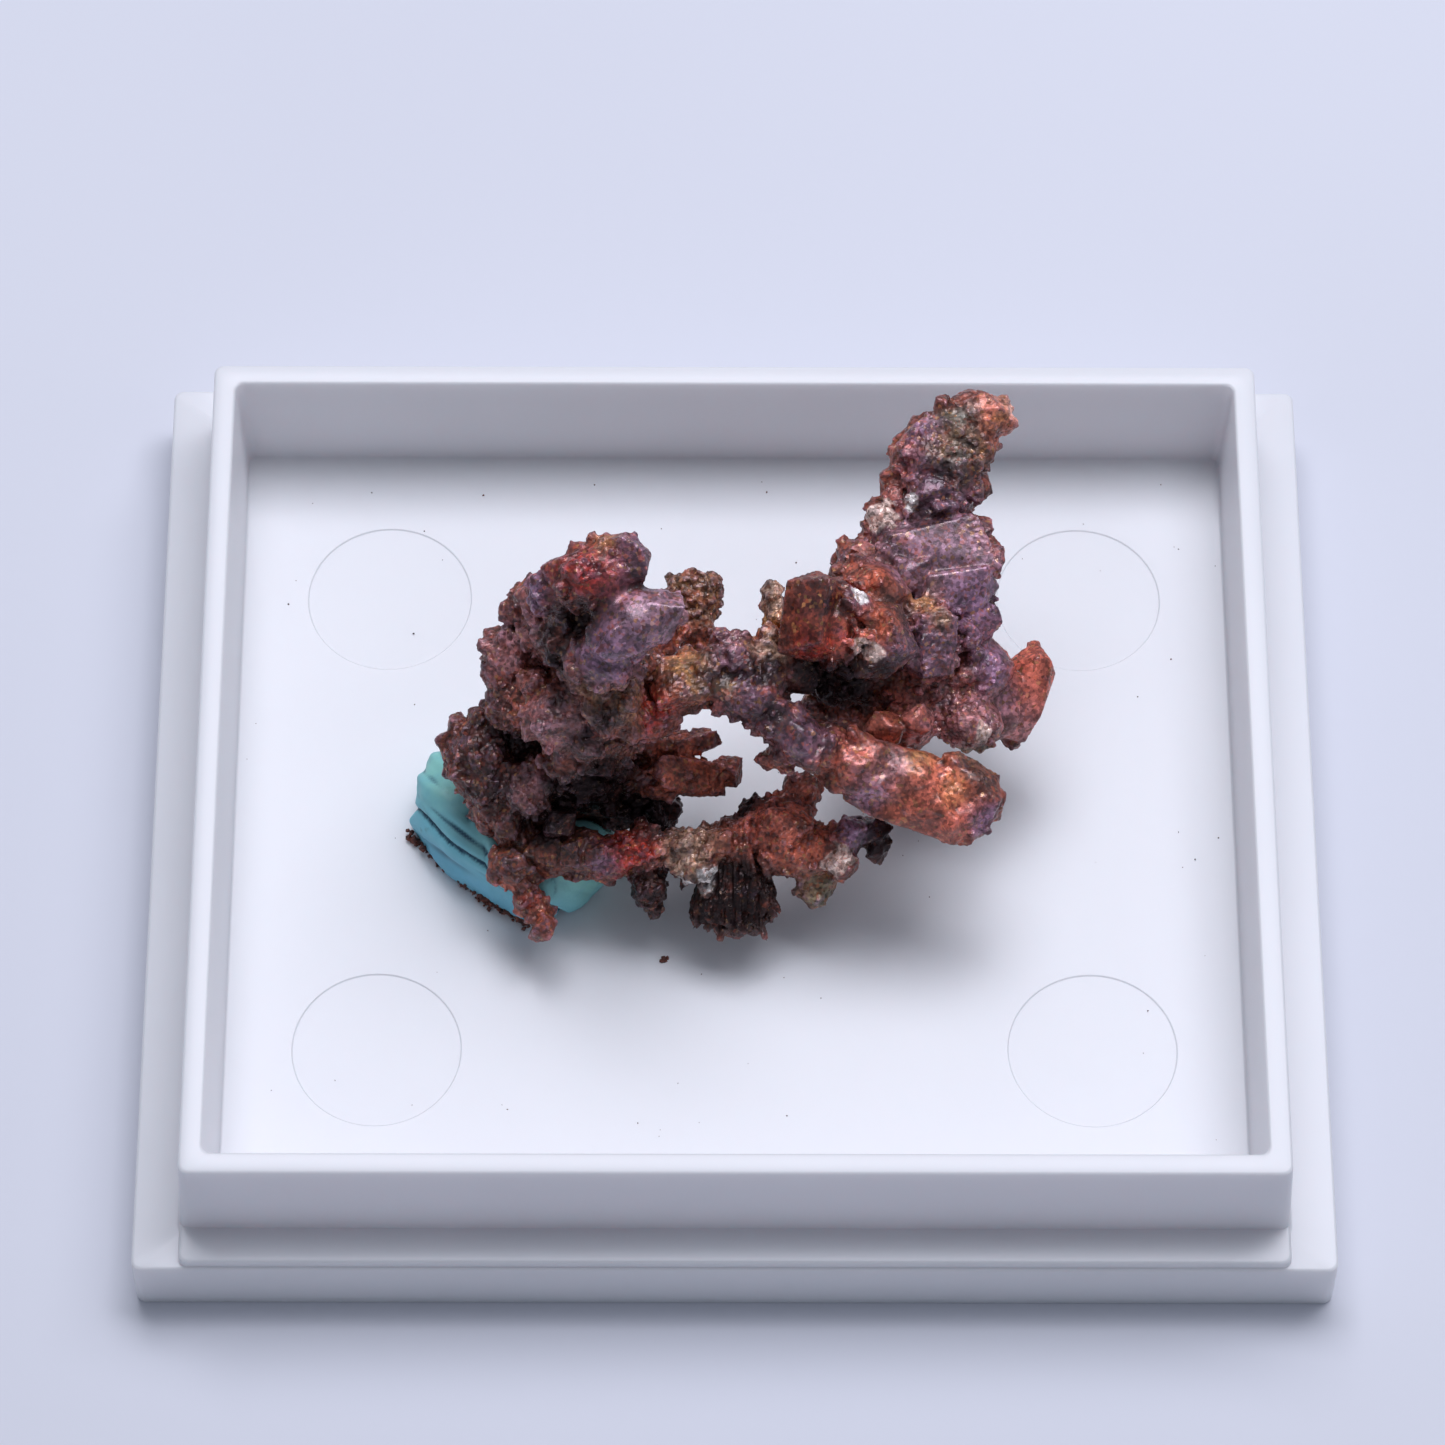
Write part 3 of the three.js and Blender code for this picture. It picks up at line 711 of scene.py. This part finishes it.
# Small convex crystals
def hull(corners):
    """Points and triangles of the convex form with these corners."""
    shape = bmesh.new()
    for corner in corners:
        shape.verts.new(corner)
    made = bmesh.ops.convex_hull(shape, input=shape.verts)
    inside = dict.fromkeys(made["geom_interior"] + made["geom_unused"])
    bmesh.ops.delete(shape, geom=list(inside), context="VERTS")
    bmesh.ops.triangulate(shape, faces=shape.faces)
    shape.verts.index_update()
    faces = np.array([[vertex.index for vertex in face.verts] for face in shape.faces], np.int32)
    points = np.array([vertex.co for vertex in shape.verts])
    shape.free()
    return points, faces


def worn_lump(random):
    """Corners of a lump between a ball and a cube, spread evenly and then shaken."""
    steps = np.arange(LUMP_CORNERS) + 0.5
    height = 1 - 2 * steps / LUMP_CORNERS
    turn = steps * GOLDEN_ANGLE
    across = np.sqrt(1 - height ** 2)
    corners = np.stack((across * np.cos(turn), across * np.sin(turn), height), axis=1)
    corners += random.normal(0, LUMP_SHAKE, corners.shape)
    reach = (np.abs(corners) ** LUMP_SQUARENESS).sum(axis=1) ** (1 / LUMP_SQUARENESS)
    return corners / reach[:, None]


def pyramid_cube(random):
    """Corners of the form that native copper takes: a cube with a low pyramid on each face, here uneven."""
    cube = np.array(list(product((-1, 1), repeat=3)), float) * CUBE_SHARE
    tips = np.concatenate((np.eye(3), -np.eye(3)))
    corners = np.concatenate((cube, tips))
    return corners + random.normal(0, CUBE_SHAKE, corners.shape)


form_random = np.random.default_rng(FORM_SEED)
crystal_forms = [hull(pyramid_cube(form_random)) for _ in range(FORMS)]


def random_turns(random, count):
    """Turning matrices spread evenly over all directions."""
    w, x, y, z = random.normal(size=(4, count))
    length = np.sqrt(w * w + x * x + y * y + z * z)
    w, x, y, z = w / length, x / length, y / length, z / length
    rows = (
        (1 - 2 * (y * y + z * z), 2 * (x * y - z * w), 2 * (x * z + y * w)),
        (2 * (x * y + z * w), 1 - 2 * (x * x + z * z), 2 * (y * z - x * w)),
        (2 * (x * z - y * w), 2 * (y * z + x * w), 1 - 2 * (x * x + y * y)),
    )
    return np.moveaxis(np.array(rows), 2, 0)


def crystals(random, centres, sizes, flatness=CRYSTAL_FLATNESS):
    """Small crystals of mixed forms, one at each centre, as one set of points and faces."""
    shells = []
    kinds = random.integers(FORMS, size=len(centres))
    turns = random_turns(random, len(centres))
    stretch = 1 - flatness * random.random((len(centres), 3))
    for kind, (corners, faces) in enumerate(crystal_forms):
        chosen = kinds == kind
        scaled = corners[None] * (stretch[chosen] * sizes[chosen, None])[:, None]
        points = np.einsum("nij,nkj->nki", turns[chosen], scaled) + centres[chosen][:, None]
        starts = np.arange(chosen.sum()) * len(corners)
        shells.append((points.reshape(-1, 3), (faces[None] + starts[:, None, None]).reshape(-1, 3)))
    return joined(shells)


def block(corners, place, half, turn, tip):
    """A convex form with these corners, stretched, turned and set on the face."""
    tipped = Matrix.Rotation(math.radians(turn), 3, "Z") @ Matrix.Rotation(math.radians(tip), 3, "Y")
    points = from_face((corners * half) @ np.array(tipped).T + place)
    return hull(points)


def shards(random, right, up, spread, count):
    """Thin shards that hang side by side and spread downwards."""
    shells = []
    for _ in range(count):
        aside = random.uniform(-spread, spread)
        place = on_surface(right + aside, up + SHARD_SCATTER * random.normal())
        length = random.uniform(*SHARD_LENGTHS)
        half = (SHARD_WIDTH, length, SHARD_WIDTH)
        shells.append(block(pyramid_cube(random), place, half, SHARD_TURN * aside / spread, 0))
    return shells


def surface_samples(random, points, triangles, density):
    """Places spread over the surface, with the surface's direction at each."""
    a, b, c = (points[triangles[:, corner]] for corner in range(3))
    cross = np.cross(b - a, c - a)
    doubled = np.linalg.norm(cross, axis=1)
    count = random.poisson(doubled / 2 * density)
    chosen = np.repeat(np.arange(len(triangles)), count)
    first, second = random.random((2, len(chosen)))
    over = first + second > 1
    first[over], second[over] = 1 - first[over], 1 - second[over]
    places = a[chosen] + first[:, None] * (b - a)[chosen] + second[:, None] * (c - a)[chosen]
    return places, (cross / np.maximum(doubled, TINY)[:, None])[chosen]


# The copper
copper_shells = {name: mesh_arrays(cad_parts[name].data) for name in BRANCHES}
whole_copper = joined(copper_shells.values())
copper_tree = BVHTree.FromPolygons(to_face(whole_copper[0]).tolist(), whole_copper[1].tolist())
FAR_OUT = 40.0


def on_surface(right, up):
    """The place on the face as it is seen from straight out of it, with its depth."""
    hit = copper_tree.ray_cast(Vector((right, up, FAR_OUT)), Vector((0, 0, -1)))[0]
    if hit is None:
        hit = copper_tree.find_nearest(Vector((right, up, 0)))[0]
    return np.array(hit)


def nearness(points, place, radius):
    """1 at a place on the face, falling to 0 past the radius."""
    distance = ((points - on_surface(*place)) ** 2).sum(axis=1)
    return np.exp(-distance / radius ** 2)


def kind_of_surface(points, places):
    """How far each point belongs to the listed places, from 0 to 1."""
    total = np.zeros(len(points))
    for right, up, radius in places:
        total = np.maximum(total, nearness(points, (right, up), radius))
    return np.clip(total * PLACE_FIRMNESS, 0, 1)


def wandered(points):
    """The points, each led astray a little, so that borders drawn by them are uneven."""
    moved = points.copy()
    for spacing, distance in COLOUR_WANDER:
        for axis in range(3):
            moved[:, axis] += distance * soft_noise(points, spacing, WANDER_SEED + axis)
    return moved


def patina(face_points):
    """The copper's colour at each point, with painted shade in its gaps and under its overhangs, and how
    much of that colour is painted shade.
    """
    moved = wandered(face_points)
    total = np.full(len(moved), COMMON_WEIGHT)
    dark = np.zeros(len(moved))
    colour = total[:, None] * linear(*COLOURS[COMMON_COLOUR])
    for name, places in COLOUR_PLACES.items():
        for right, up, radius in places:
            weight = nearness(moved, (right, up), radius)
            if name in CRISP_COLOURS:
                outer, inner = CRISP_EDGE
                weight = CRISP_WEIGHT * np.clip((weight - outer) / (inner - outer), 0, 1)
            total += weight
            dark += weight * SHADE_COLOURS.get(name, 0)
            colour += weight[:, None] * linear(*COLOURS[name])
    return np.clip(colour / total[:, None] * COLOUR_LIFT, 0, BRIGHTEST), dark / total


def core(name, points, triangles):
    """A branch without its crystals."""
    mesh = fused(name, points, triangles, CORE_VOXEL)
    points = positions(mesh)
    face_points = to_face(points)
    depth = CORE_DEPTH * (1 - kind_of_surface(face_points, SMOOTH_PLACES))
    behind = [(*place[:2], max(half[:2])) for place, half, turn, tip in FLAT_BLOCKS.get(name, ())]
    depth += FLAT_DEPTH * kind_of_surface(face_points, behind)
    return points - normals(mesh) * depth[:, None], mesh_arrays(mesh, 1)[1]


def covering_crystals(random, points, triangles, kinds):
    """The crystals that cover a branch, fewer and smaller where it is smooth."""
    settings = np.array(kinds)
    most = settings[:, 0].max()
    places, outward = surface_samples(random, points, triangles, most)
    face_places = to_face(places)
    smooth = kind_of_surface(face_places, SMOOTH_PLACES)
    granular = kind_of_surface(face_places, GRANULAR_PLACES) * (1 - smooth)
    common = 1 - smooth - granular
    shares = np.stack((common, granular, smooth), axis=1)
    density, smallest, largest = (shares @ settings).T
    kept = random.random(len(places)) < density / most
    spread = random.random(kept.sum()) ** SMALL_BIAS
    sizes = smallest[kept] + (largest - smallest)[kept] * spread
    sink = random.uniform(*CRYSTAL_SINK, kept.sum())
    centres = places[kept] - outward[kept] * (sizes * sink)[:, None]
    return crystals(random, centres, sizes)


def rough_copper(mesh):
    """Grains, pits and fibres raised on the skin."""
    points = positions(mesh)
    outward = normals(mesh)
    face_points = to_face(points)
    smooth = kind_of_surface(face_points, SMOOTH_PLACES)
    granular = kind_of_surface(face_points, GRANULAR_PLACES)
    fibrous = kind_of_surface(face_points, FIBROUS_PLACES)
    pitted = kind_of_surface(face_points, PITTED_PLACES)
    smooth *= 1 - pitted
    spacing, height, seed = GRAINS
    way, own = nearest_cell(points, spacing, seed)
    bump = 1 - np.linalg.norm(way, axis=1) / spacing
    common, more, less = GRAIN_SHARES
    grains = height * (bump - GRAIN_LEVEL) * (LEAST_GRAIN + own[:, 0])
    grains *= np.clip(common + more * granular - less * smooth, 0, 1)
    spacing, height, seed = FINE_GRAINS
    fine = height * soft_noise(points, spacing, seed) * (1 - SMOOTH_LOSS * smooth)
    spacing, height, seed = PITS
    pits = height * soft_noise(points, spacing, seed) * pitted
    spacing, height, seed = FIBRES
    drawn = face_points / np.array((spacing, FIBRE_LENGTH, spacing))
    fibres = height * soft_noise(drawn, 1.0, seed) * fibrous
    raised = (grains + fine) * (1 - FIBROUS_LOSS * fibrous) + fibres + pits
    set_positions(mesh, points + outward * raised[:, None])


def copper_form(name, seed):
    """The skin of a branch, with all that grows on it."""
    random = np.random.default_rng(seed)
    points, triangles = copper_shells[name]
    shells = [core(name, points, triangles)]
    for kinds in (COARSE_CRYSTALS, FINE_CRYSTALS):
        shells.append(covering_crystals(random, points, triangles, kinds))
    for setting in BLOCKS[name]:
        shells.append(block(worn_lump(random), *setting))
    for setting in FLAT_BLOCKS.get(name, ()):
        shells.append(block(pyramid_cube(random), *setting))
    for fan in FANS.get(name, ()):
        shells += shards(random, *fan)
    for place, half in FORK_JOINTS.get(name, ()):
        centre = from_face(np.array((place,)))
        shells.append(crystals(random, centre, np.array((half,)), FORK_FLATNESS))
    mesh = largest_part(fused(name, *joined(shells), COPPER_VOXEL))
    rough_copper(mesh)
    return thinned(mesh, MOST_TRIANGLES)


def copper_branch(name, material, seed):
    mesh = copper_form(name, seed)
    face_points = to_face(positions(mesh))
    colour, dark = patina(face_points)
    add_attribute(mesh, "patina", colour)
    narrow = hollowness(mesh, NARROW_ROUNDS) / NARROW_DEPTH
    wide = hollowness(mesh, WIDE_ROUNDS) / WIDE_DEPTH
    smooth = kind_of_surface(face_points, SMOOTH_PLACES)
    fibrous = kind_of_surface(face_points, FIBROUS_PLACES)
    # painted sheen: strongest on sharp ridges, less where the copper is smooth or fibrous
    add_attribute(mesh, "edge_sheen", np.clip(-narrow, 0, 1) * (1 - fibrous) * (1 - SMOOTH_SHEEN_LOSS * smooth))
    add_attribute(mesh, "hollow", np.clip(narrow, 0, 1))
    # painted shade: near black in the wide gaps between lumps and where the black shade colours lie
    add_attribute(mesh, "crevice_shade", np.clip(np.maximum(wide - WIDE_START, dark), 0, DARKEST))
    add_attribute(mesh, "polish", smooth)
    middles = to_face(read(mesh.polygons, "center", 3))
    polished = kind_of_surface(middles, SMOOTH_PLACES) > POLISHED_FROM
    return placed(name + "_skin", mesh, material, name, polished)


# The putty
PUTTY_VOXEL = 0.12
PUTTY_ROUNDS = 14
PUTTY_SWELL = 0.28  # closes the gap that the solids keep round the copper
SWELL_REACH = 2  # how far from the copper the swell ends, as a share of it
PUTTY_SINK = 0.06
PUTTY_CORNER = np.array((-13.95, -0.8, FLOOR_HEIGHT))
PUTTY_EDGE_AXES = np.array(((0.773, -0.634), (0.634, 0.773)))  # along the front edge, and in from it
PUTTY_BAND = 3.2  # how far in from the edge the colour has turned from blue to green
FOLD_RISE = 0.55
FOLDS = (0.4, 2.4, 0.13, 5)  # height and length of the folds, how far they stand out, start of the noise
DENTS = (1.3, 0.08, 6)  # spacing, how far they stand out, start of the noise
CREASE = (1.25, 0.13, 0.22)  # how far in from the edge, width and depth
CREASE_WANDER = (0.25, 7)  # distance, start of the noise
CREASE_SHADE = 0.4
FOLD_ROUNDS, FOLD_DEPTH = 10, 0.05  # how the painted shade in the folds is found


def putty_lump(material):
    points, triangles = mesh_arrays(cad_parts["putty"].data)
    mesh = fused("putty", points, triangles, PUTTY_VOXEL)
    set_positions(mesh, relaxed(mesh, positions(mesh), PUTTY_ROUNDS))
    points = positions(mesh)
    outward = normals(mesh)
    along, inward = ((points - PUTTY_CORNER)[:, :2] @ PUTTY_EDGE_AXES.T).T
    inward = inward + FOLD_RISE * (points[:, 2] - FLOOR_HEIGHT)
    height, length, depth, seed = FOLDS
    layers = np.stack((inward / height, along / length, np.zeros_like(along)), axis=1)
    folds = depth * soft_noise(layers, 1.0, seed)
    spacing, depth, seed = DENTS
    folds += depth * soft_noise(points, spacing, seed)
    distance, seed = CREASE_WANDER
    wander = distance * soft_noise(layers * (0, 1, 0), 1.0, seed)
    place, width, depth = CREASE
    crease = np.exp(-((inward - place - wander) / width) ** 2)
    folds -= depth * crease
    gaps = np.array([copper_tree.find_nearest(point)[3] for point in to_face(points).tolist()])
    swell = PUTTY_SWELL * np.clip(SWELL_REACH - gaps / PUTTY_SWELL, 0, 1)
    points = points + outward * (swell + folds)[:, None]
    points[:, 2] = np.maximum(points[:, 2], FLOOR_HEIGHT - PUTTY_SINK)
    set_positions(mesh, points)
    # painted shade in the hollows of the folds and along the crease
    dark = hollowness(mesh, FOLD_ROUNDS) / FOLD_DEPTH + CREASE_SHADE * crease
    add_attribute(mesh, "fold_shade", np.clip(dark, 0, 1))
    add_attribute(mesh, "inward", np.clip(inward / PUTTY_BAND, 0, 1))
    return placed("putty_lump", mesh, material, "putty")


# The moulded base
def rounded_loop(width, depth, height, radius):
    points = []
    for side_x, side_y, start in ((1, 1, 0), (-1, 1, 90), (-1, -1, 180), (1, -1, 270)):
        for step in range(CORNER_STEPS + 1):
            angle = math.radians(start + 90 * step / CORNER_STEPS)
            x = side_x * (width / 2 - radius) + radius * math.cos(angle)
            y = side_y * (depth / 2 - radius) + radius * math.sin(angle)
            points.append((x, y, height))
    return points


def lofted(name, loops):
    """A closed skin through loops with equal numbers of points, closed at both ends."""
    shape = bmesh.new()
    rings = [[shape.verts.new(point) for point in loop] for loop in loops]
    count = len(rings[0])
    for lower, upper in zip(rings, rings[1:]):
        for index in range(count):
            following = (index + 1) % count
            shape.faces.new((lower[index], lower[following], upper[following], upper[index]))
    shape.faces.new(reversed(rings[0]))
    shape.faces.new(rings[-1])
    bmesh.ops.recalc_face_normals(shape, faces=shape.faces)
    mesh = bpy.data.meshes.new(name)
    shape.to_mesh(mesh)
    shape.free()
    return new_object(name, mesh)


def rounded_edge(width, depth, height, out, up, from_wall):
    """Loops round an edge where a wall meets a flat.

    The flat lies out from the wall, and the wall up from the flat.
    """
    loops = []
    for step in range(EDGE_STEPS + 1):
        angle = math.pi / 2 * step / EDGE_STEPS
        shift = 2 * out * EDGE_ROUNDING * (1 - math.cos(angle))
        rise = up * EDGE_ROUNDING * (1 - math.sin(angle))
        loops.append(rounded_loop(width + shift, depth + shift, height + rise, CORNER_RADIUS))
    return loops if from_wall else loops[::-1]


def cut_or_joined(piece, other, operation):
    change = piece.modifiers.new(operation, "BOOLEAN")
    change.operation = operation
    change.object = other
    change.solver = "EXACT"
    changed = new_object(piece.name, evaluated(piece))
    bpy.data.objects.remove(other)
    return changed


def box_base(material):
    foot_width, foot_depth = RIM_WIDTH + 2 * DRAFT, RIM_DEPTH + 2 * DRAFT
    mouth_width, mouth_depth = RIM_WIDTH - 2 * RIM_WALL, RIM_DEPTH - 2 * RIM_WALL
    floor_width, floor_depth = mouth_width - 2 * DRAFT, mouth_depth - 2 * DRAFT
    open_width, open_depth = FLANGE_WIDTH - 2 * SKIRT_WALL, FLANGE_DEPTH - 2 * SKIRT_WALL
    loops = [rounded_loop(open_width, open_depth, FLOOR_HEIGHT - FLOOR_THICKNESS, CORNER_RADIUS)]
    edges = (
        (open_width, open_depth, 0, 1, 1, True),
        (FLANGE_WIDTH, FLANGE_DEPTH, 0, -1, 1, False),
        (FLANGE_WIDTH, FLANGE_DEPTH, FLANGE_HEIGHT, -1, -1, True),
        (foot_width, foot_depth, FLANGE_HEIGHT, 1, 1, False),
        (RIM_WIDTH, RIM_DEPTH, RIM_HEIGHT, -1, -1, True),
        (mouth_width, mouth_depth, RIM_HEIGHT, 1, -1, False),
        (floor_width, floor_depth, FLOOR_HEIGHT, -1, 1, True),
    )
    for edge in edges:
        loops += rounded_edge(*edge)
    base = lofted("box_base", loops)
    ledge_reach = FLANGE_DEPTH / 2 - LEDGE_SETBACK
    ledge_inner = foot_depth / 2 - RIM_WALL / 2
    for side in (-1, 1):
        span = ledge_reach - ledge_inner
        middle = Matrix.Translation((0, side * (ledge_reach + ledge_inner) / 2, 0))
        loops = [rounded_loop(foot_width, span, FLANGE_HEIGHT - FLOOR_THICKNESS, EDGE_ROUNDING)]
        loops += rounded_edge(foot_width, span, LEDGE_HEIGHT, -1, -1, True)
        ledge = lofted("ledge", loops)
        ledge.data.transform(middle)
        base = cut_or_joined(base, ledge, "UNION")
    for x, y in product((-PIN_MARK_X, PIN_MARK_X), (-PIN_MARK_Y, PIN_MARK_Y)):
        loops = []
        for level in (-1, 1):
            radius = PIN_MARK_RADIUS + level * PIN_MARK_SLOPE
            turns = np.arange(PIN_MARK_SIDES) / PIN_MARK_SIDES * math.tau
            height = np.full(PIN_MARK_SIDES, FLOOR_HEIGHT + level * PIN_MARK_DEPTH)
            ring = np.stack((x + radius * np.cos(turns), y + radius * np.sin(turns), height), axis=1)
            loops.append(ring.tolist())
        base = cut_or_joined(base, lofted("pin_mark", loops), "DIFFERENCE")
    mesh = base.data
    bpy.data.objects.remove(base)
    piece = placed("moulded_base", mesh, material, "box_base")
    mesh.set_sharp_from_angle(angle=SHARP_ANGLE)
    return piece


# Loose grains
PUTTY_EDGE = ((-13.95, -0.8), (-12.2, -2.5), (-10.5, -4.1), (-8.7, -5.1))
EDGE_CRUMBS = 240
EDGE_CRUMB_SIZES = (0.05, 0.17)
EDGE_CRUMB_LEVEL = 0.4  # height of a crumb's middle, as a share of its size
EDGE_CRUMB_PILE = 0.35
LOW_BIAS = 2  # more than 1 makes low crumbs the most common
EDGE_CRUMB_SEED = 31
CRUMB_SCATTER = 0.1
FLOOR_CRUMB = (-3.0, -6.78)
FLOOR_CRUMB_SIZES = (0.16, 0.11, 0.08)
DUST_SPECKS = 90
DUST_SIZES = (0.018, 0.045)
DUST_LEVEL = 0.3
DUST_SEED = 47


def crumb_piece(name, random, centres, sizes, material):
    points, faces = crystals(random, centres, sizes)
    return placed(name, new_mesh(name, points, faces), material)


def putty_crumbs(material):
    random = np.random.default_rng(EDGE_CRUMB_SEED)
    corners = np.array(PUTTY_EDGE)
    along = random.random(EDGE_CRUMBS) * (len(corners) - 1)
    first = along.astype(int)
    share = (along - first)[:, None]
    middle = corners[first] * (1 - share) + corners[first + 1] * share
    sizes = random.uniform(*EDGE_CRUMB_SIZES, EDGE_CRUMBS)
    level = FLOOR_HEIGHT + sizes * EDGE_CRUMB_LEVEL
    level += EDGE_CRUMB_PILE * random.random(EDGE_CRUMBS) ** LOW_BIAS
    spread = random.normal(0, CRUMB_SCATTER, (EDGE_CRUMBS, 2))
    centres = np.concatenate((middle + spread, level[:, None]), axis=1)
    return crumb_piece("putty_crumbs", random, centres, sizes, material)


def floor_dust(material):
    random = np.random.default_rng(DUST_SEED)
    half = np.array((RIM_WIDTH, RIM_DEPTH)) / 2 - RIM_WALL - DRAFT - EDGE_ROUNDING
    places = random.uniform(-half, half, (DUST_SPECKS, 2))
    sizes = random.uniform(*DUST_SIZES, DUST_SPECKS)
    crumb_sizes = np.array(FLOOR_CRUMB_SIZES)
    crumb_places = np.array(FLOOR_CRUMB) + random.normal(0, CRUMB_SCATTER, (len(crumb_sizes), 2))
    places = np.concatenate((places, crumb_places))
    sizes = np.concatenate((sizes, crumb_sizes))
    centres = np.concatenate((places, (FLOOR_HEIGHT + sizes * DUST_LEVEL)[:, None]), axis=1)
    return crumb_piece("floor_dust", random, centres, sizes, material)


# Crumbs of crusted copper
CRUMB_GRAIN = 0.12
CRUMB_COLOURS = ((58, 30, 26), (122, 66, 50))
CRUMB_DULLNESS_SIZE = 0.1
CRUMB_DULLNESS = (0.3, 0.7, 0.45, 0.7)
CRUMB_TOOTH = (0.05, 0.01)  # size and depth


def crumb_finish():
    shader = Shader("copper_crumbs")
    surface = shader.surface
    dark, light = (linear(*colour) for colour in CRUMB_COLOURS)
    colour = shader.mix(shader.channel(shader.cells(CRUMB_GRAIN), "Red"), dark, light)
    shader.link(colour, surface.inputs["Base Color"])
    dullness = shader.ramp(shader.noise(CRUMB_DULLNESS_SIZE), *CRUMB_DULLNESS)
    shader.link(dullness, surface.inputs["Roughness"])
    size, depth = CRUMB_TOOTH
    shader.bump(shader.noise(size), depth)
    return shader.material


# Floor, light and camera
FLOOR_REACH = 2000
FLOOR_CLOUDS = (60, 0.0)
FLOOR_RANGE = (0.35, 0.65)
FLOOR_COLOURS = ((0.72, 0.735, 0.805), (0.74, 0.755, 0.825))
FLOOR_ROUGHNESS = 0.7
KEY_DISTANCE = 350
KEY_ELEVATION = math.radians(70)
KEY_RIGHT = 40
KEY_WIDTH, KEY_DEPTH = 320, 170
KEY_POWER = 1.1
KEY_COLOUR = (0.90, 0.905, 1.0)
SKY_COLOUR = (0.78, 0.85, 1.0)
SKY_STRENGTH = 0.27


def pale_floor():
    reach = FLOOR_REACH * MM
    corners = [(-reach, -reach, 0), (reach, -reach, 0), (reach, reach, 0), (-reach, reach, 0)]
    mesh = new_mesh("pale_floor", corners, [(0, 1, 2, 3)])
    shader = Shader("pale_floor")
    clouds = shader.ramp(shader.noise(*FLOOR_CLOUDS), *FLOOR_RANGE)
    shader.link(shader.mix(clouds, *FLOOR_COLOURS), shader.surface.inputs["Base Color"])
    shader.surface.inputs["Roughness"].default_value = FLOOR_ROUGHNESS
    mesh.materials.append(shader.material)
    new_object("pale_floor", mesh)


def studio_light():
    lamp = bpy.data.lights.new("light_behind", "AREA")
    lamp.shape = "RECTANGLE"
    lamp.size = KEY_WIDTH * MM
    lamp.size_y = KEY_DEPTH * MM
    lamp.energy = KEY_POWER
    lamp.color = KEY_COLOUR
    light = new_object("light_behind", lamp)
    behind = KEY_DISTANCE * math.cos(KEY_ELEVATION)
    above = KEY_DISTANCE * math.sin(KEY_ELEVATION)
    place = Vector((KEY_RIGHT, behind, above))
    light.location = place * MM
    light.rotation_euler = (-place).to_track_quat("-Z", "Y").to_euler()
    world = bpy.data.worlds.new("soft_sky")
    world.use_nodes = True
    sky = world.node_tree.nodes["Background"]
    sky.inputs["Color"].default_value = (*SKY_COLOUR, 1)
    sky.inputs["Strength"].default_value = SKY_STRENGTH
    bpy.context.scene.world = world


def photo_camera():
    forward = Vector((math.sin(CAMERA_YAW), math.cos(CAMERA_YAW), 0)) * math.cos(CAMERA_ELEVATION)
    forward.z = -math.sin(CAMERA_ELEVATION)
    level = Vector((math.cos(CAMERA_YAW), -math.sin(CAMERA_YAW), 0))
    upright = level.cross(forward)
    right = level * math.cos(CAMERA_ROLL) - upright * math.sin(CAMERA_ROLL)
    up = level * math.sin(CAMERA_ROLL) + upright * math.cos(CAMERA_ROLL)
    lens = bpy.data.cameras.new("photo_camera")
    lens.sensor_width = SENSOR
    lens.lens = FOCAL_PIXELS / IMAGE_SIDE * SENSOR
    lens.clip_start = CLIP_START * MM
    camera = new_object("photo_camera", lens)
    turn = Matrix((right, up, -forward)).transposed().to_4x4()
    camera.matrix_world = Matrix.Translation((CAMERA_AIM - forward * CAMERA_DISTANCE) * MM) @ turn
    bpy.context.scene.camera = camera


def main():
    photo_camera()
    studio_light()
    pale_floor()
    bpy.context.scene.view_settings.view_transform = "Standard"
    box_base(plastic_finish())
    putty_lump(putty_finish())
    copper = copper_finish()
    for seed, name in enumerate(BRANCHES):
        copper_branch(name, copper, seed)
    crumbs = crumb_finish()
    putty_crumbs(crumbs)
    floor_dust(crumbs)


main()
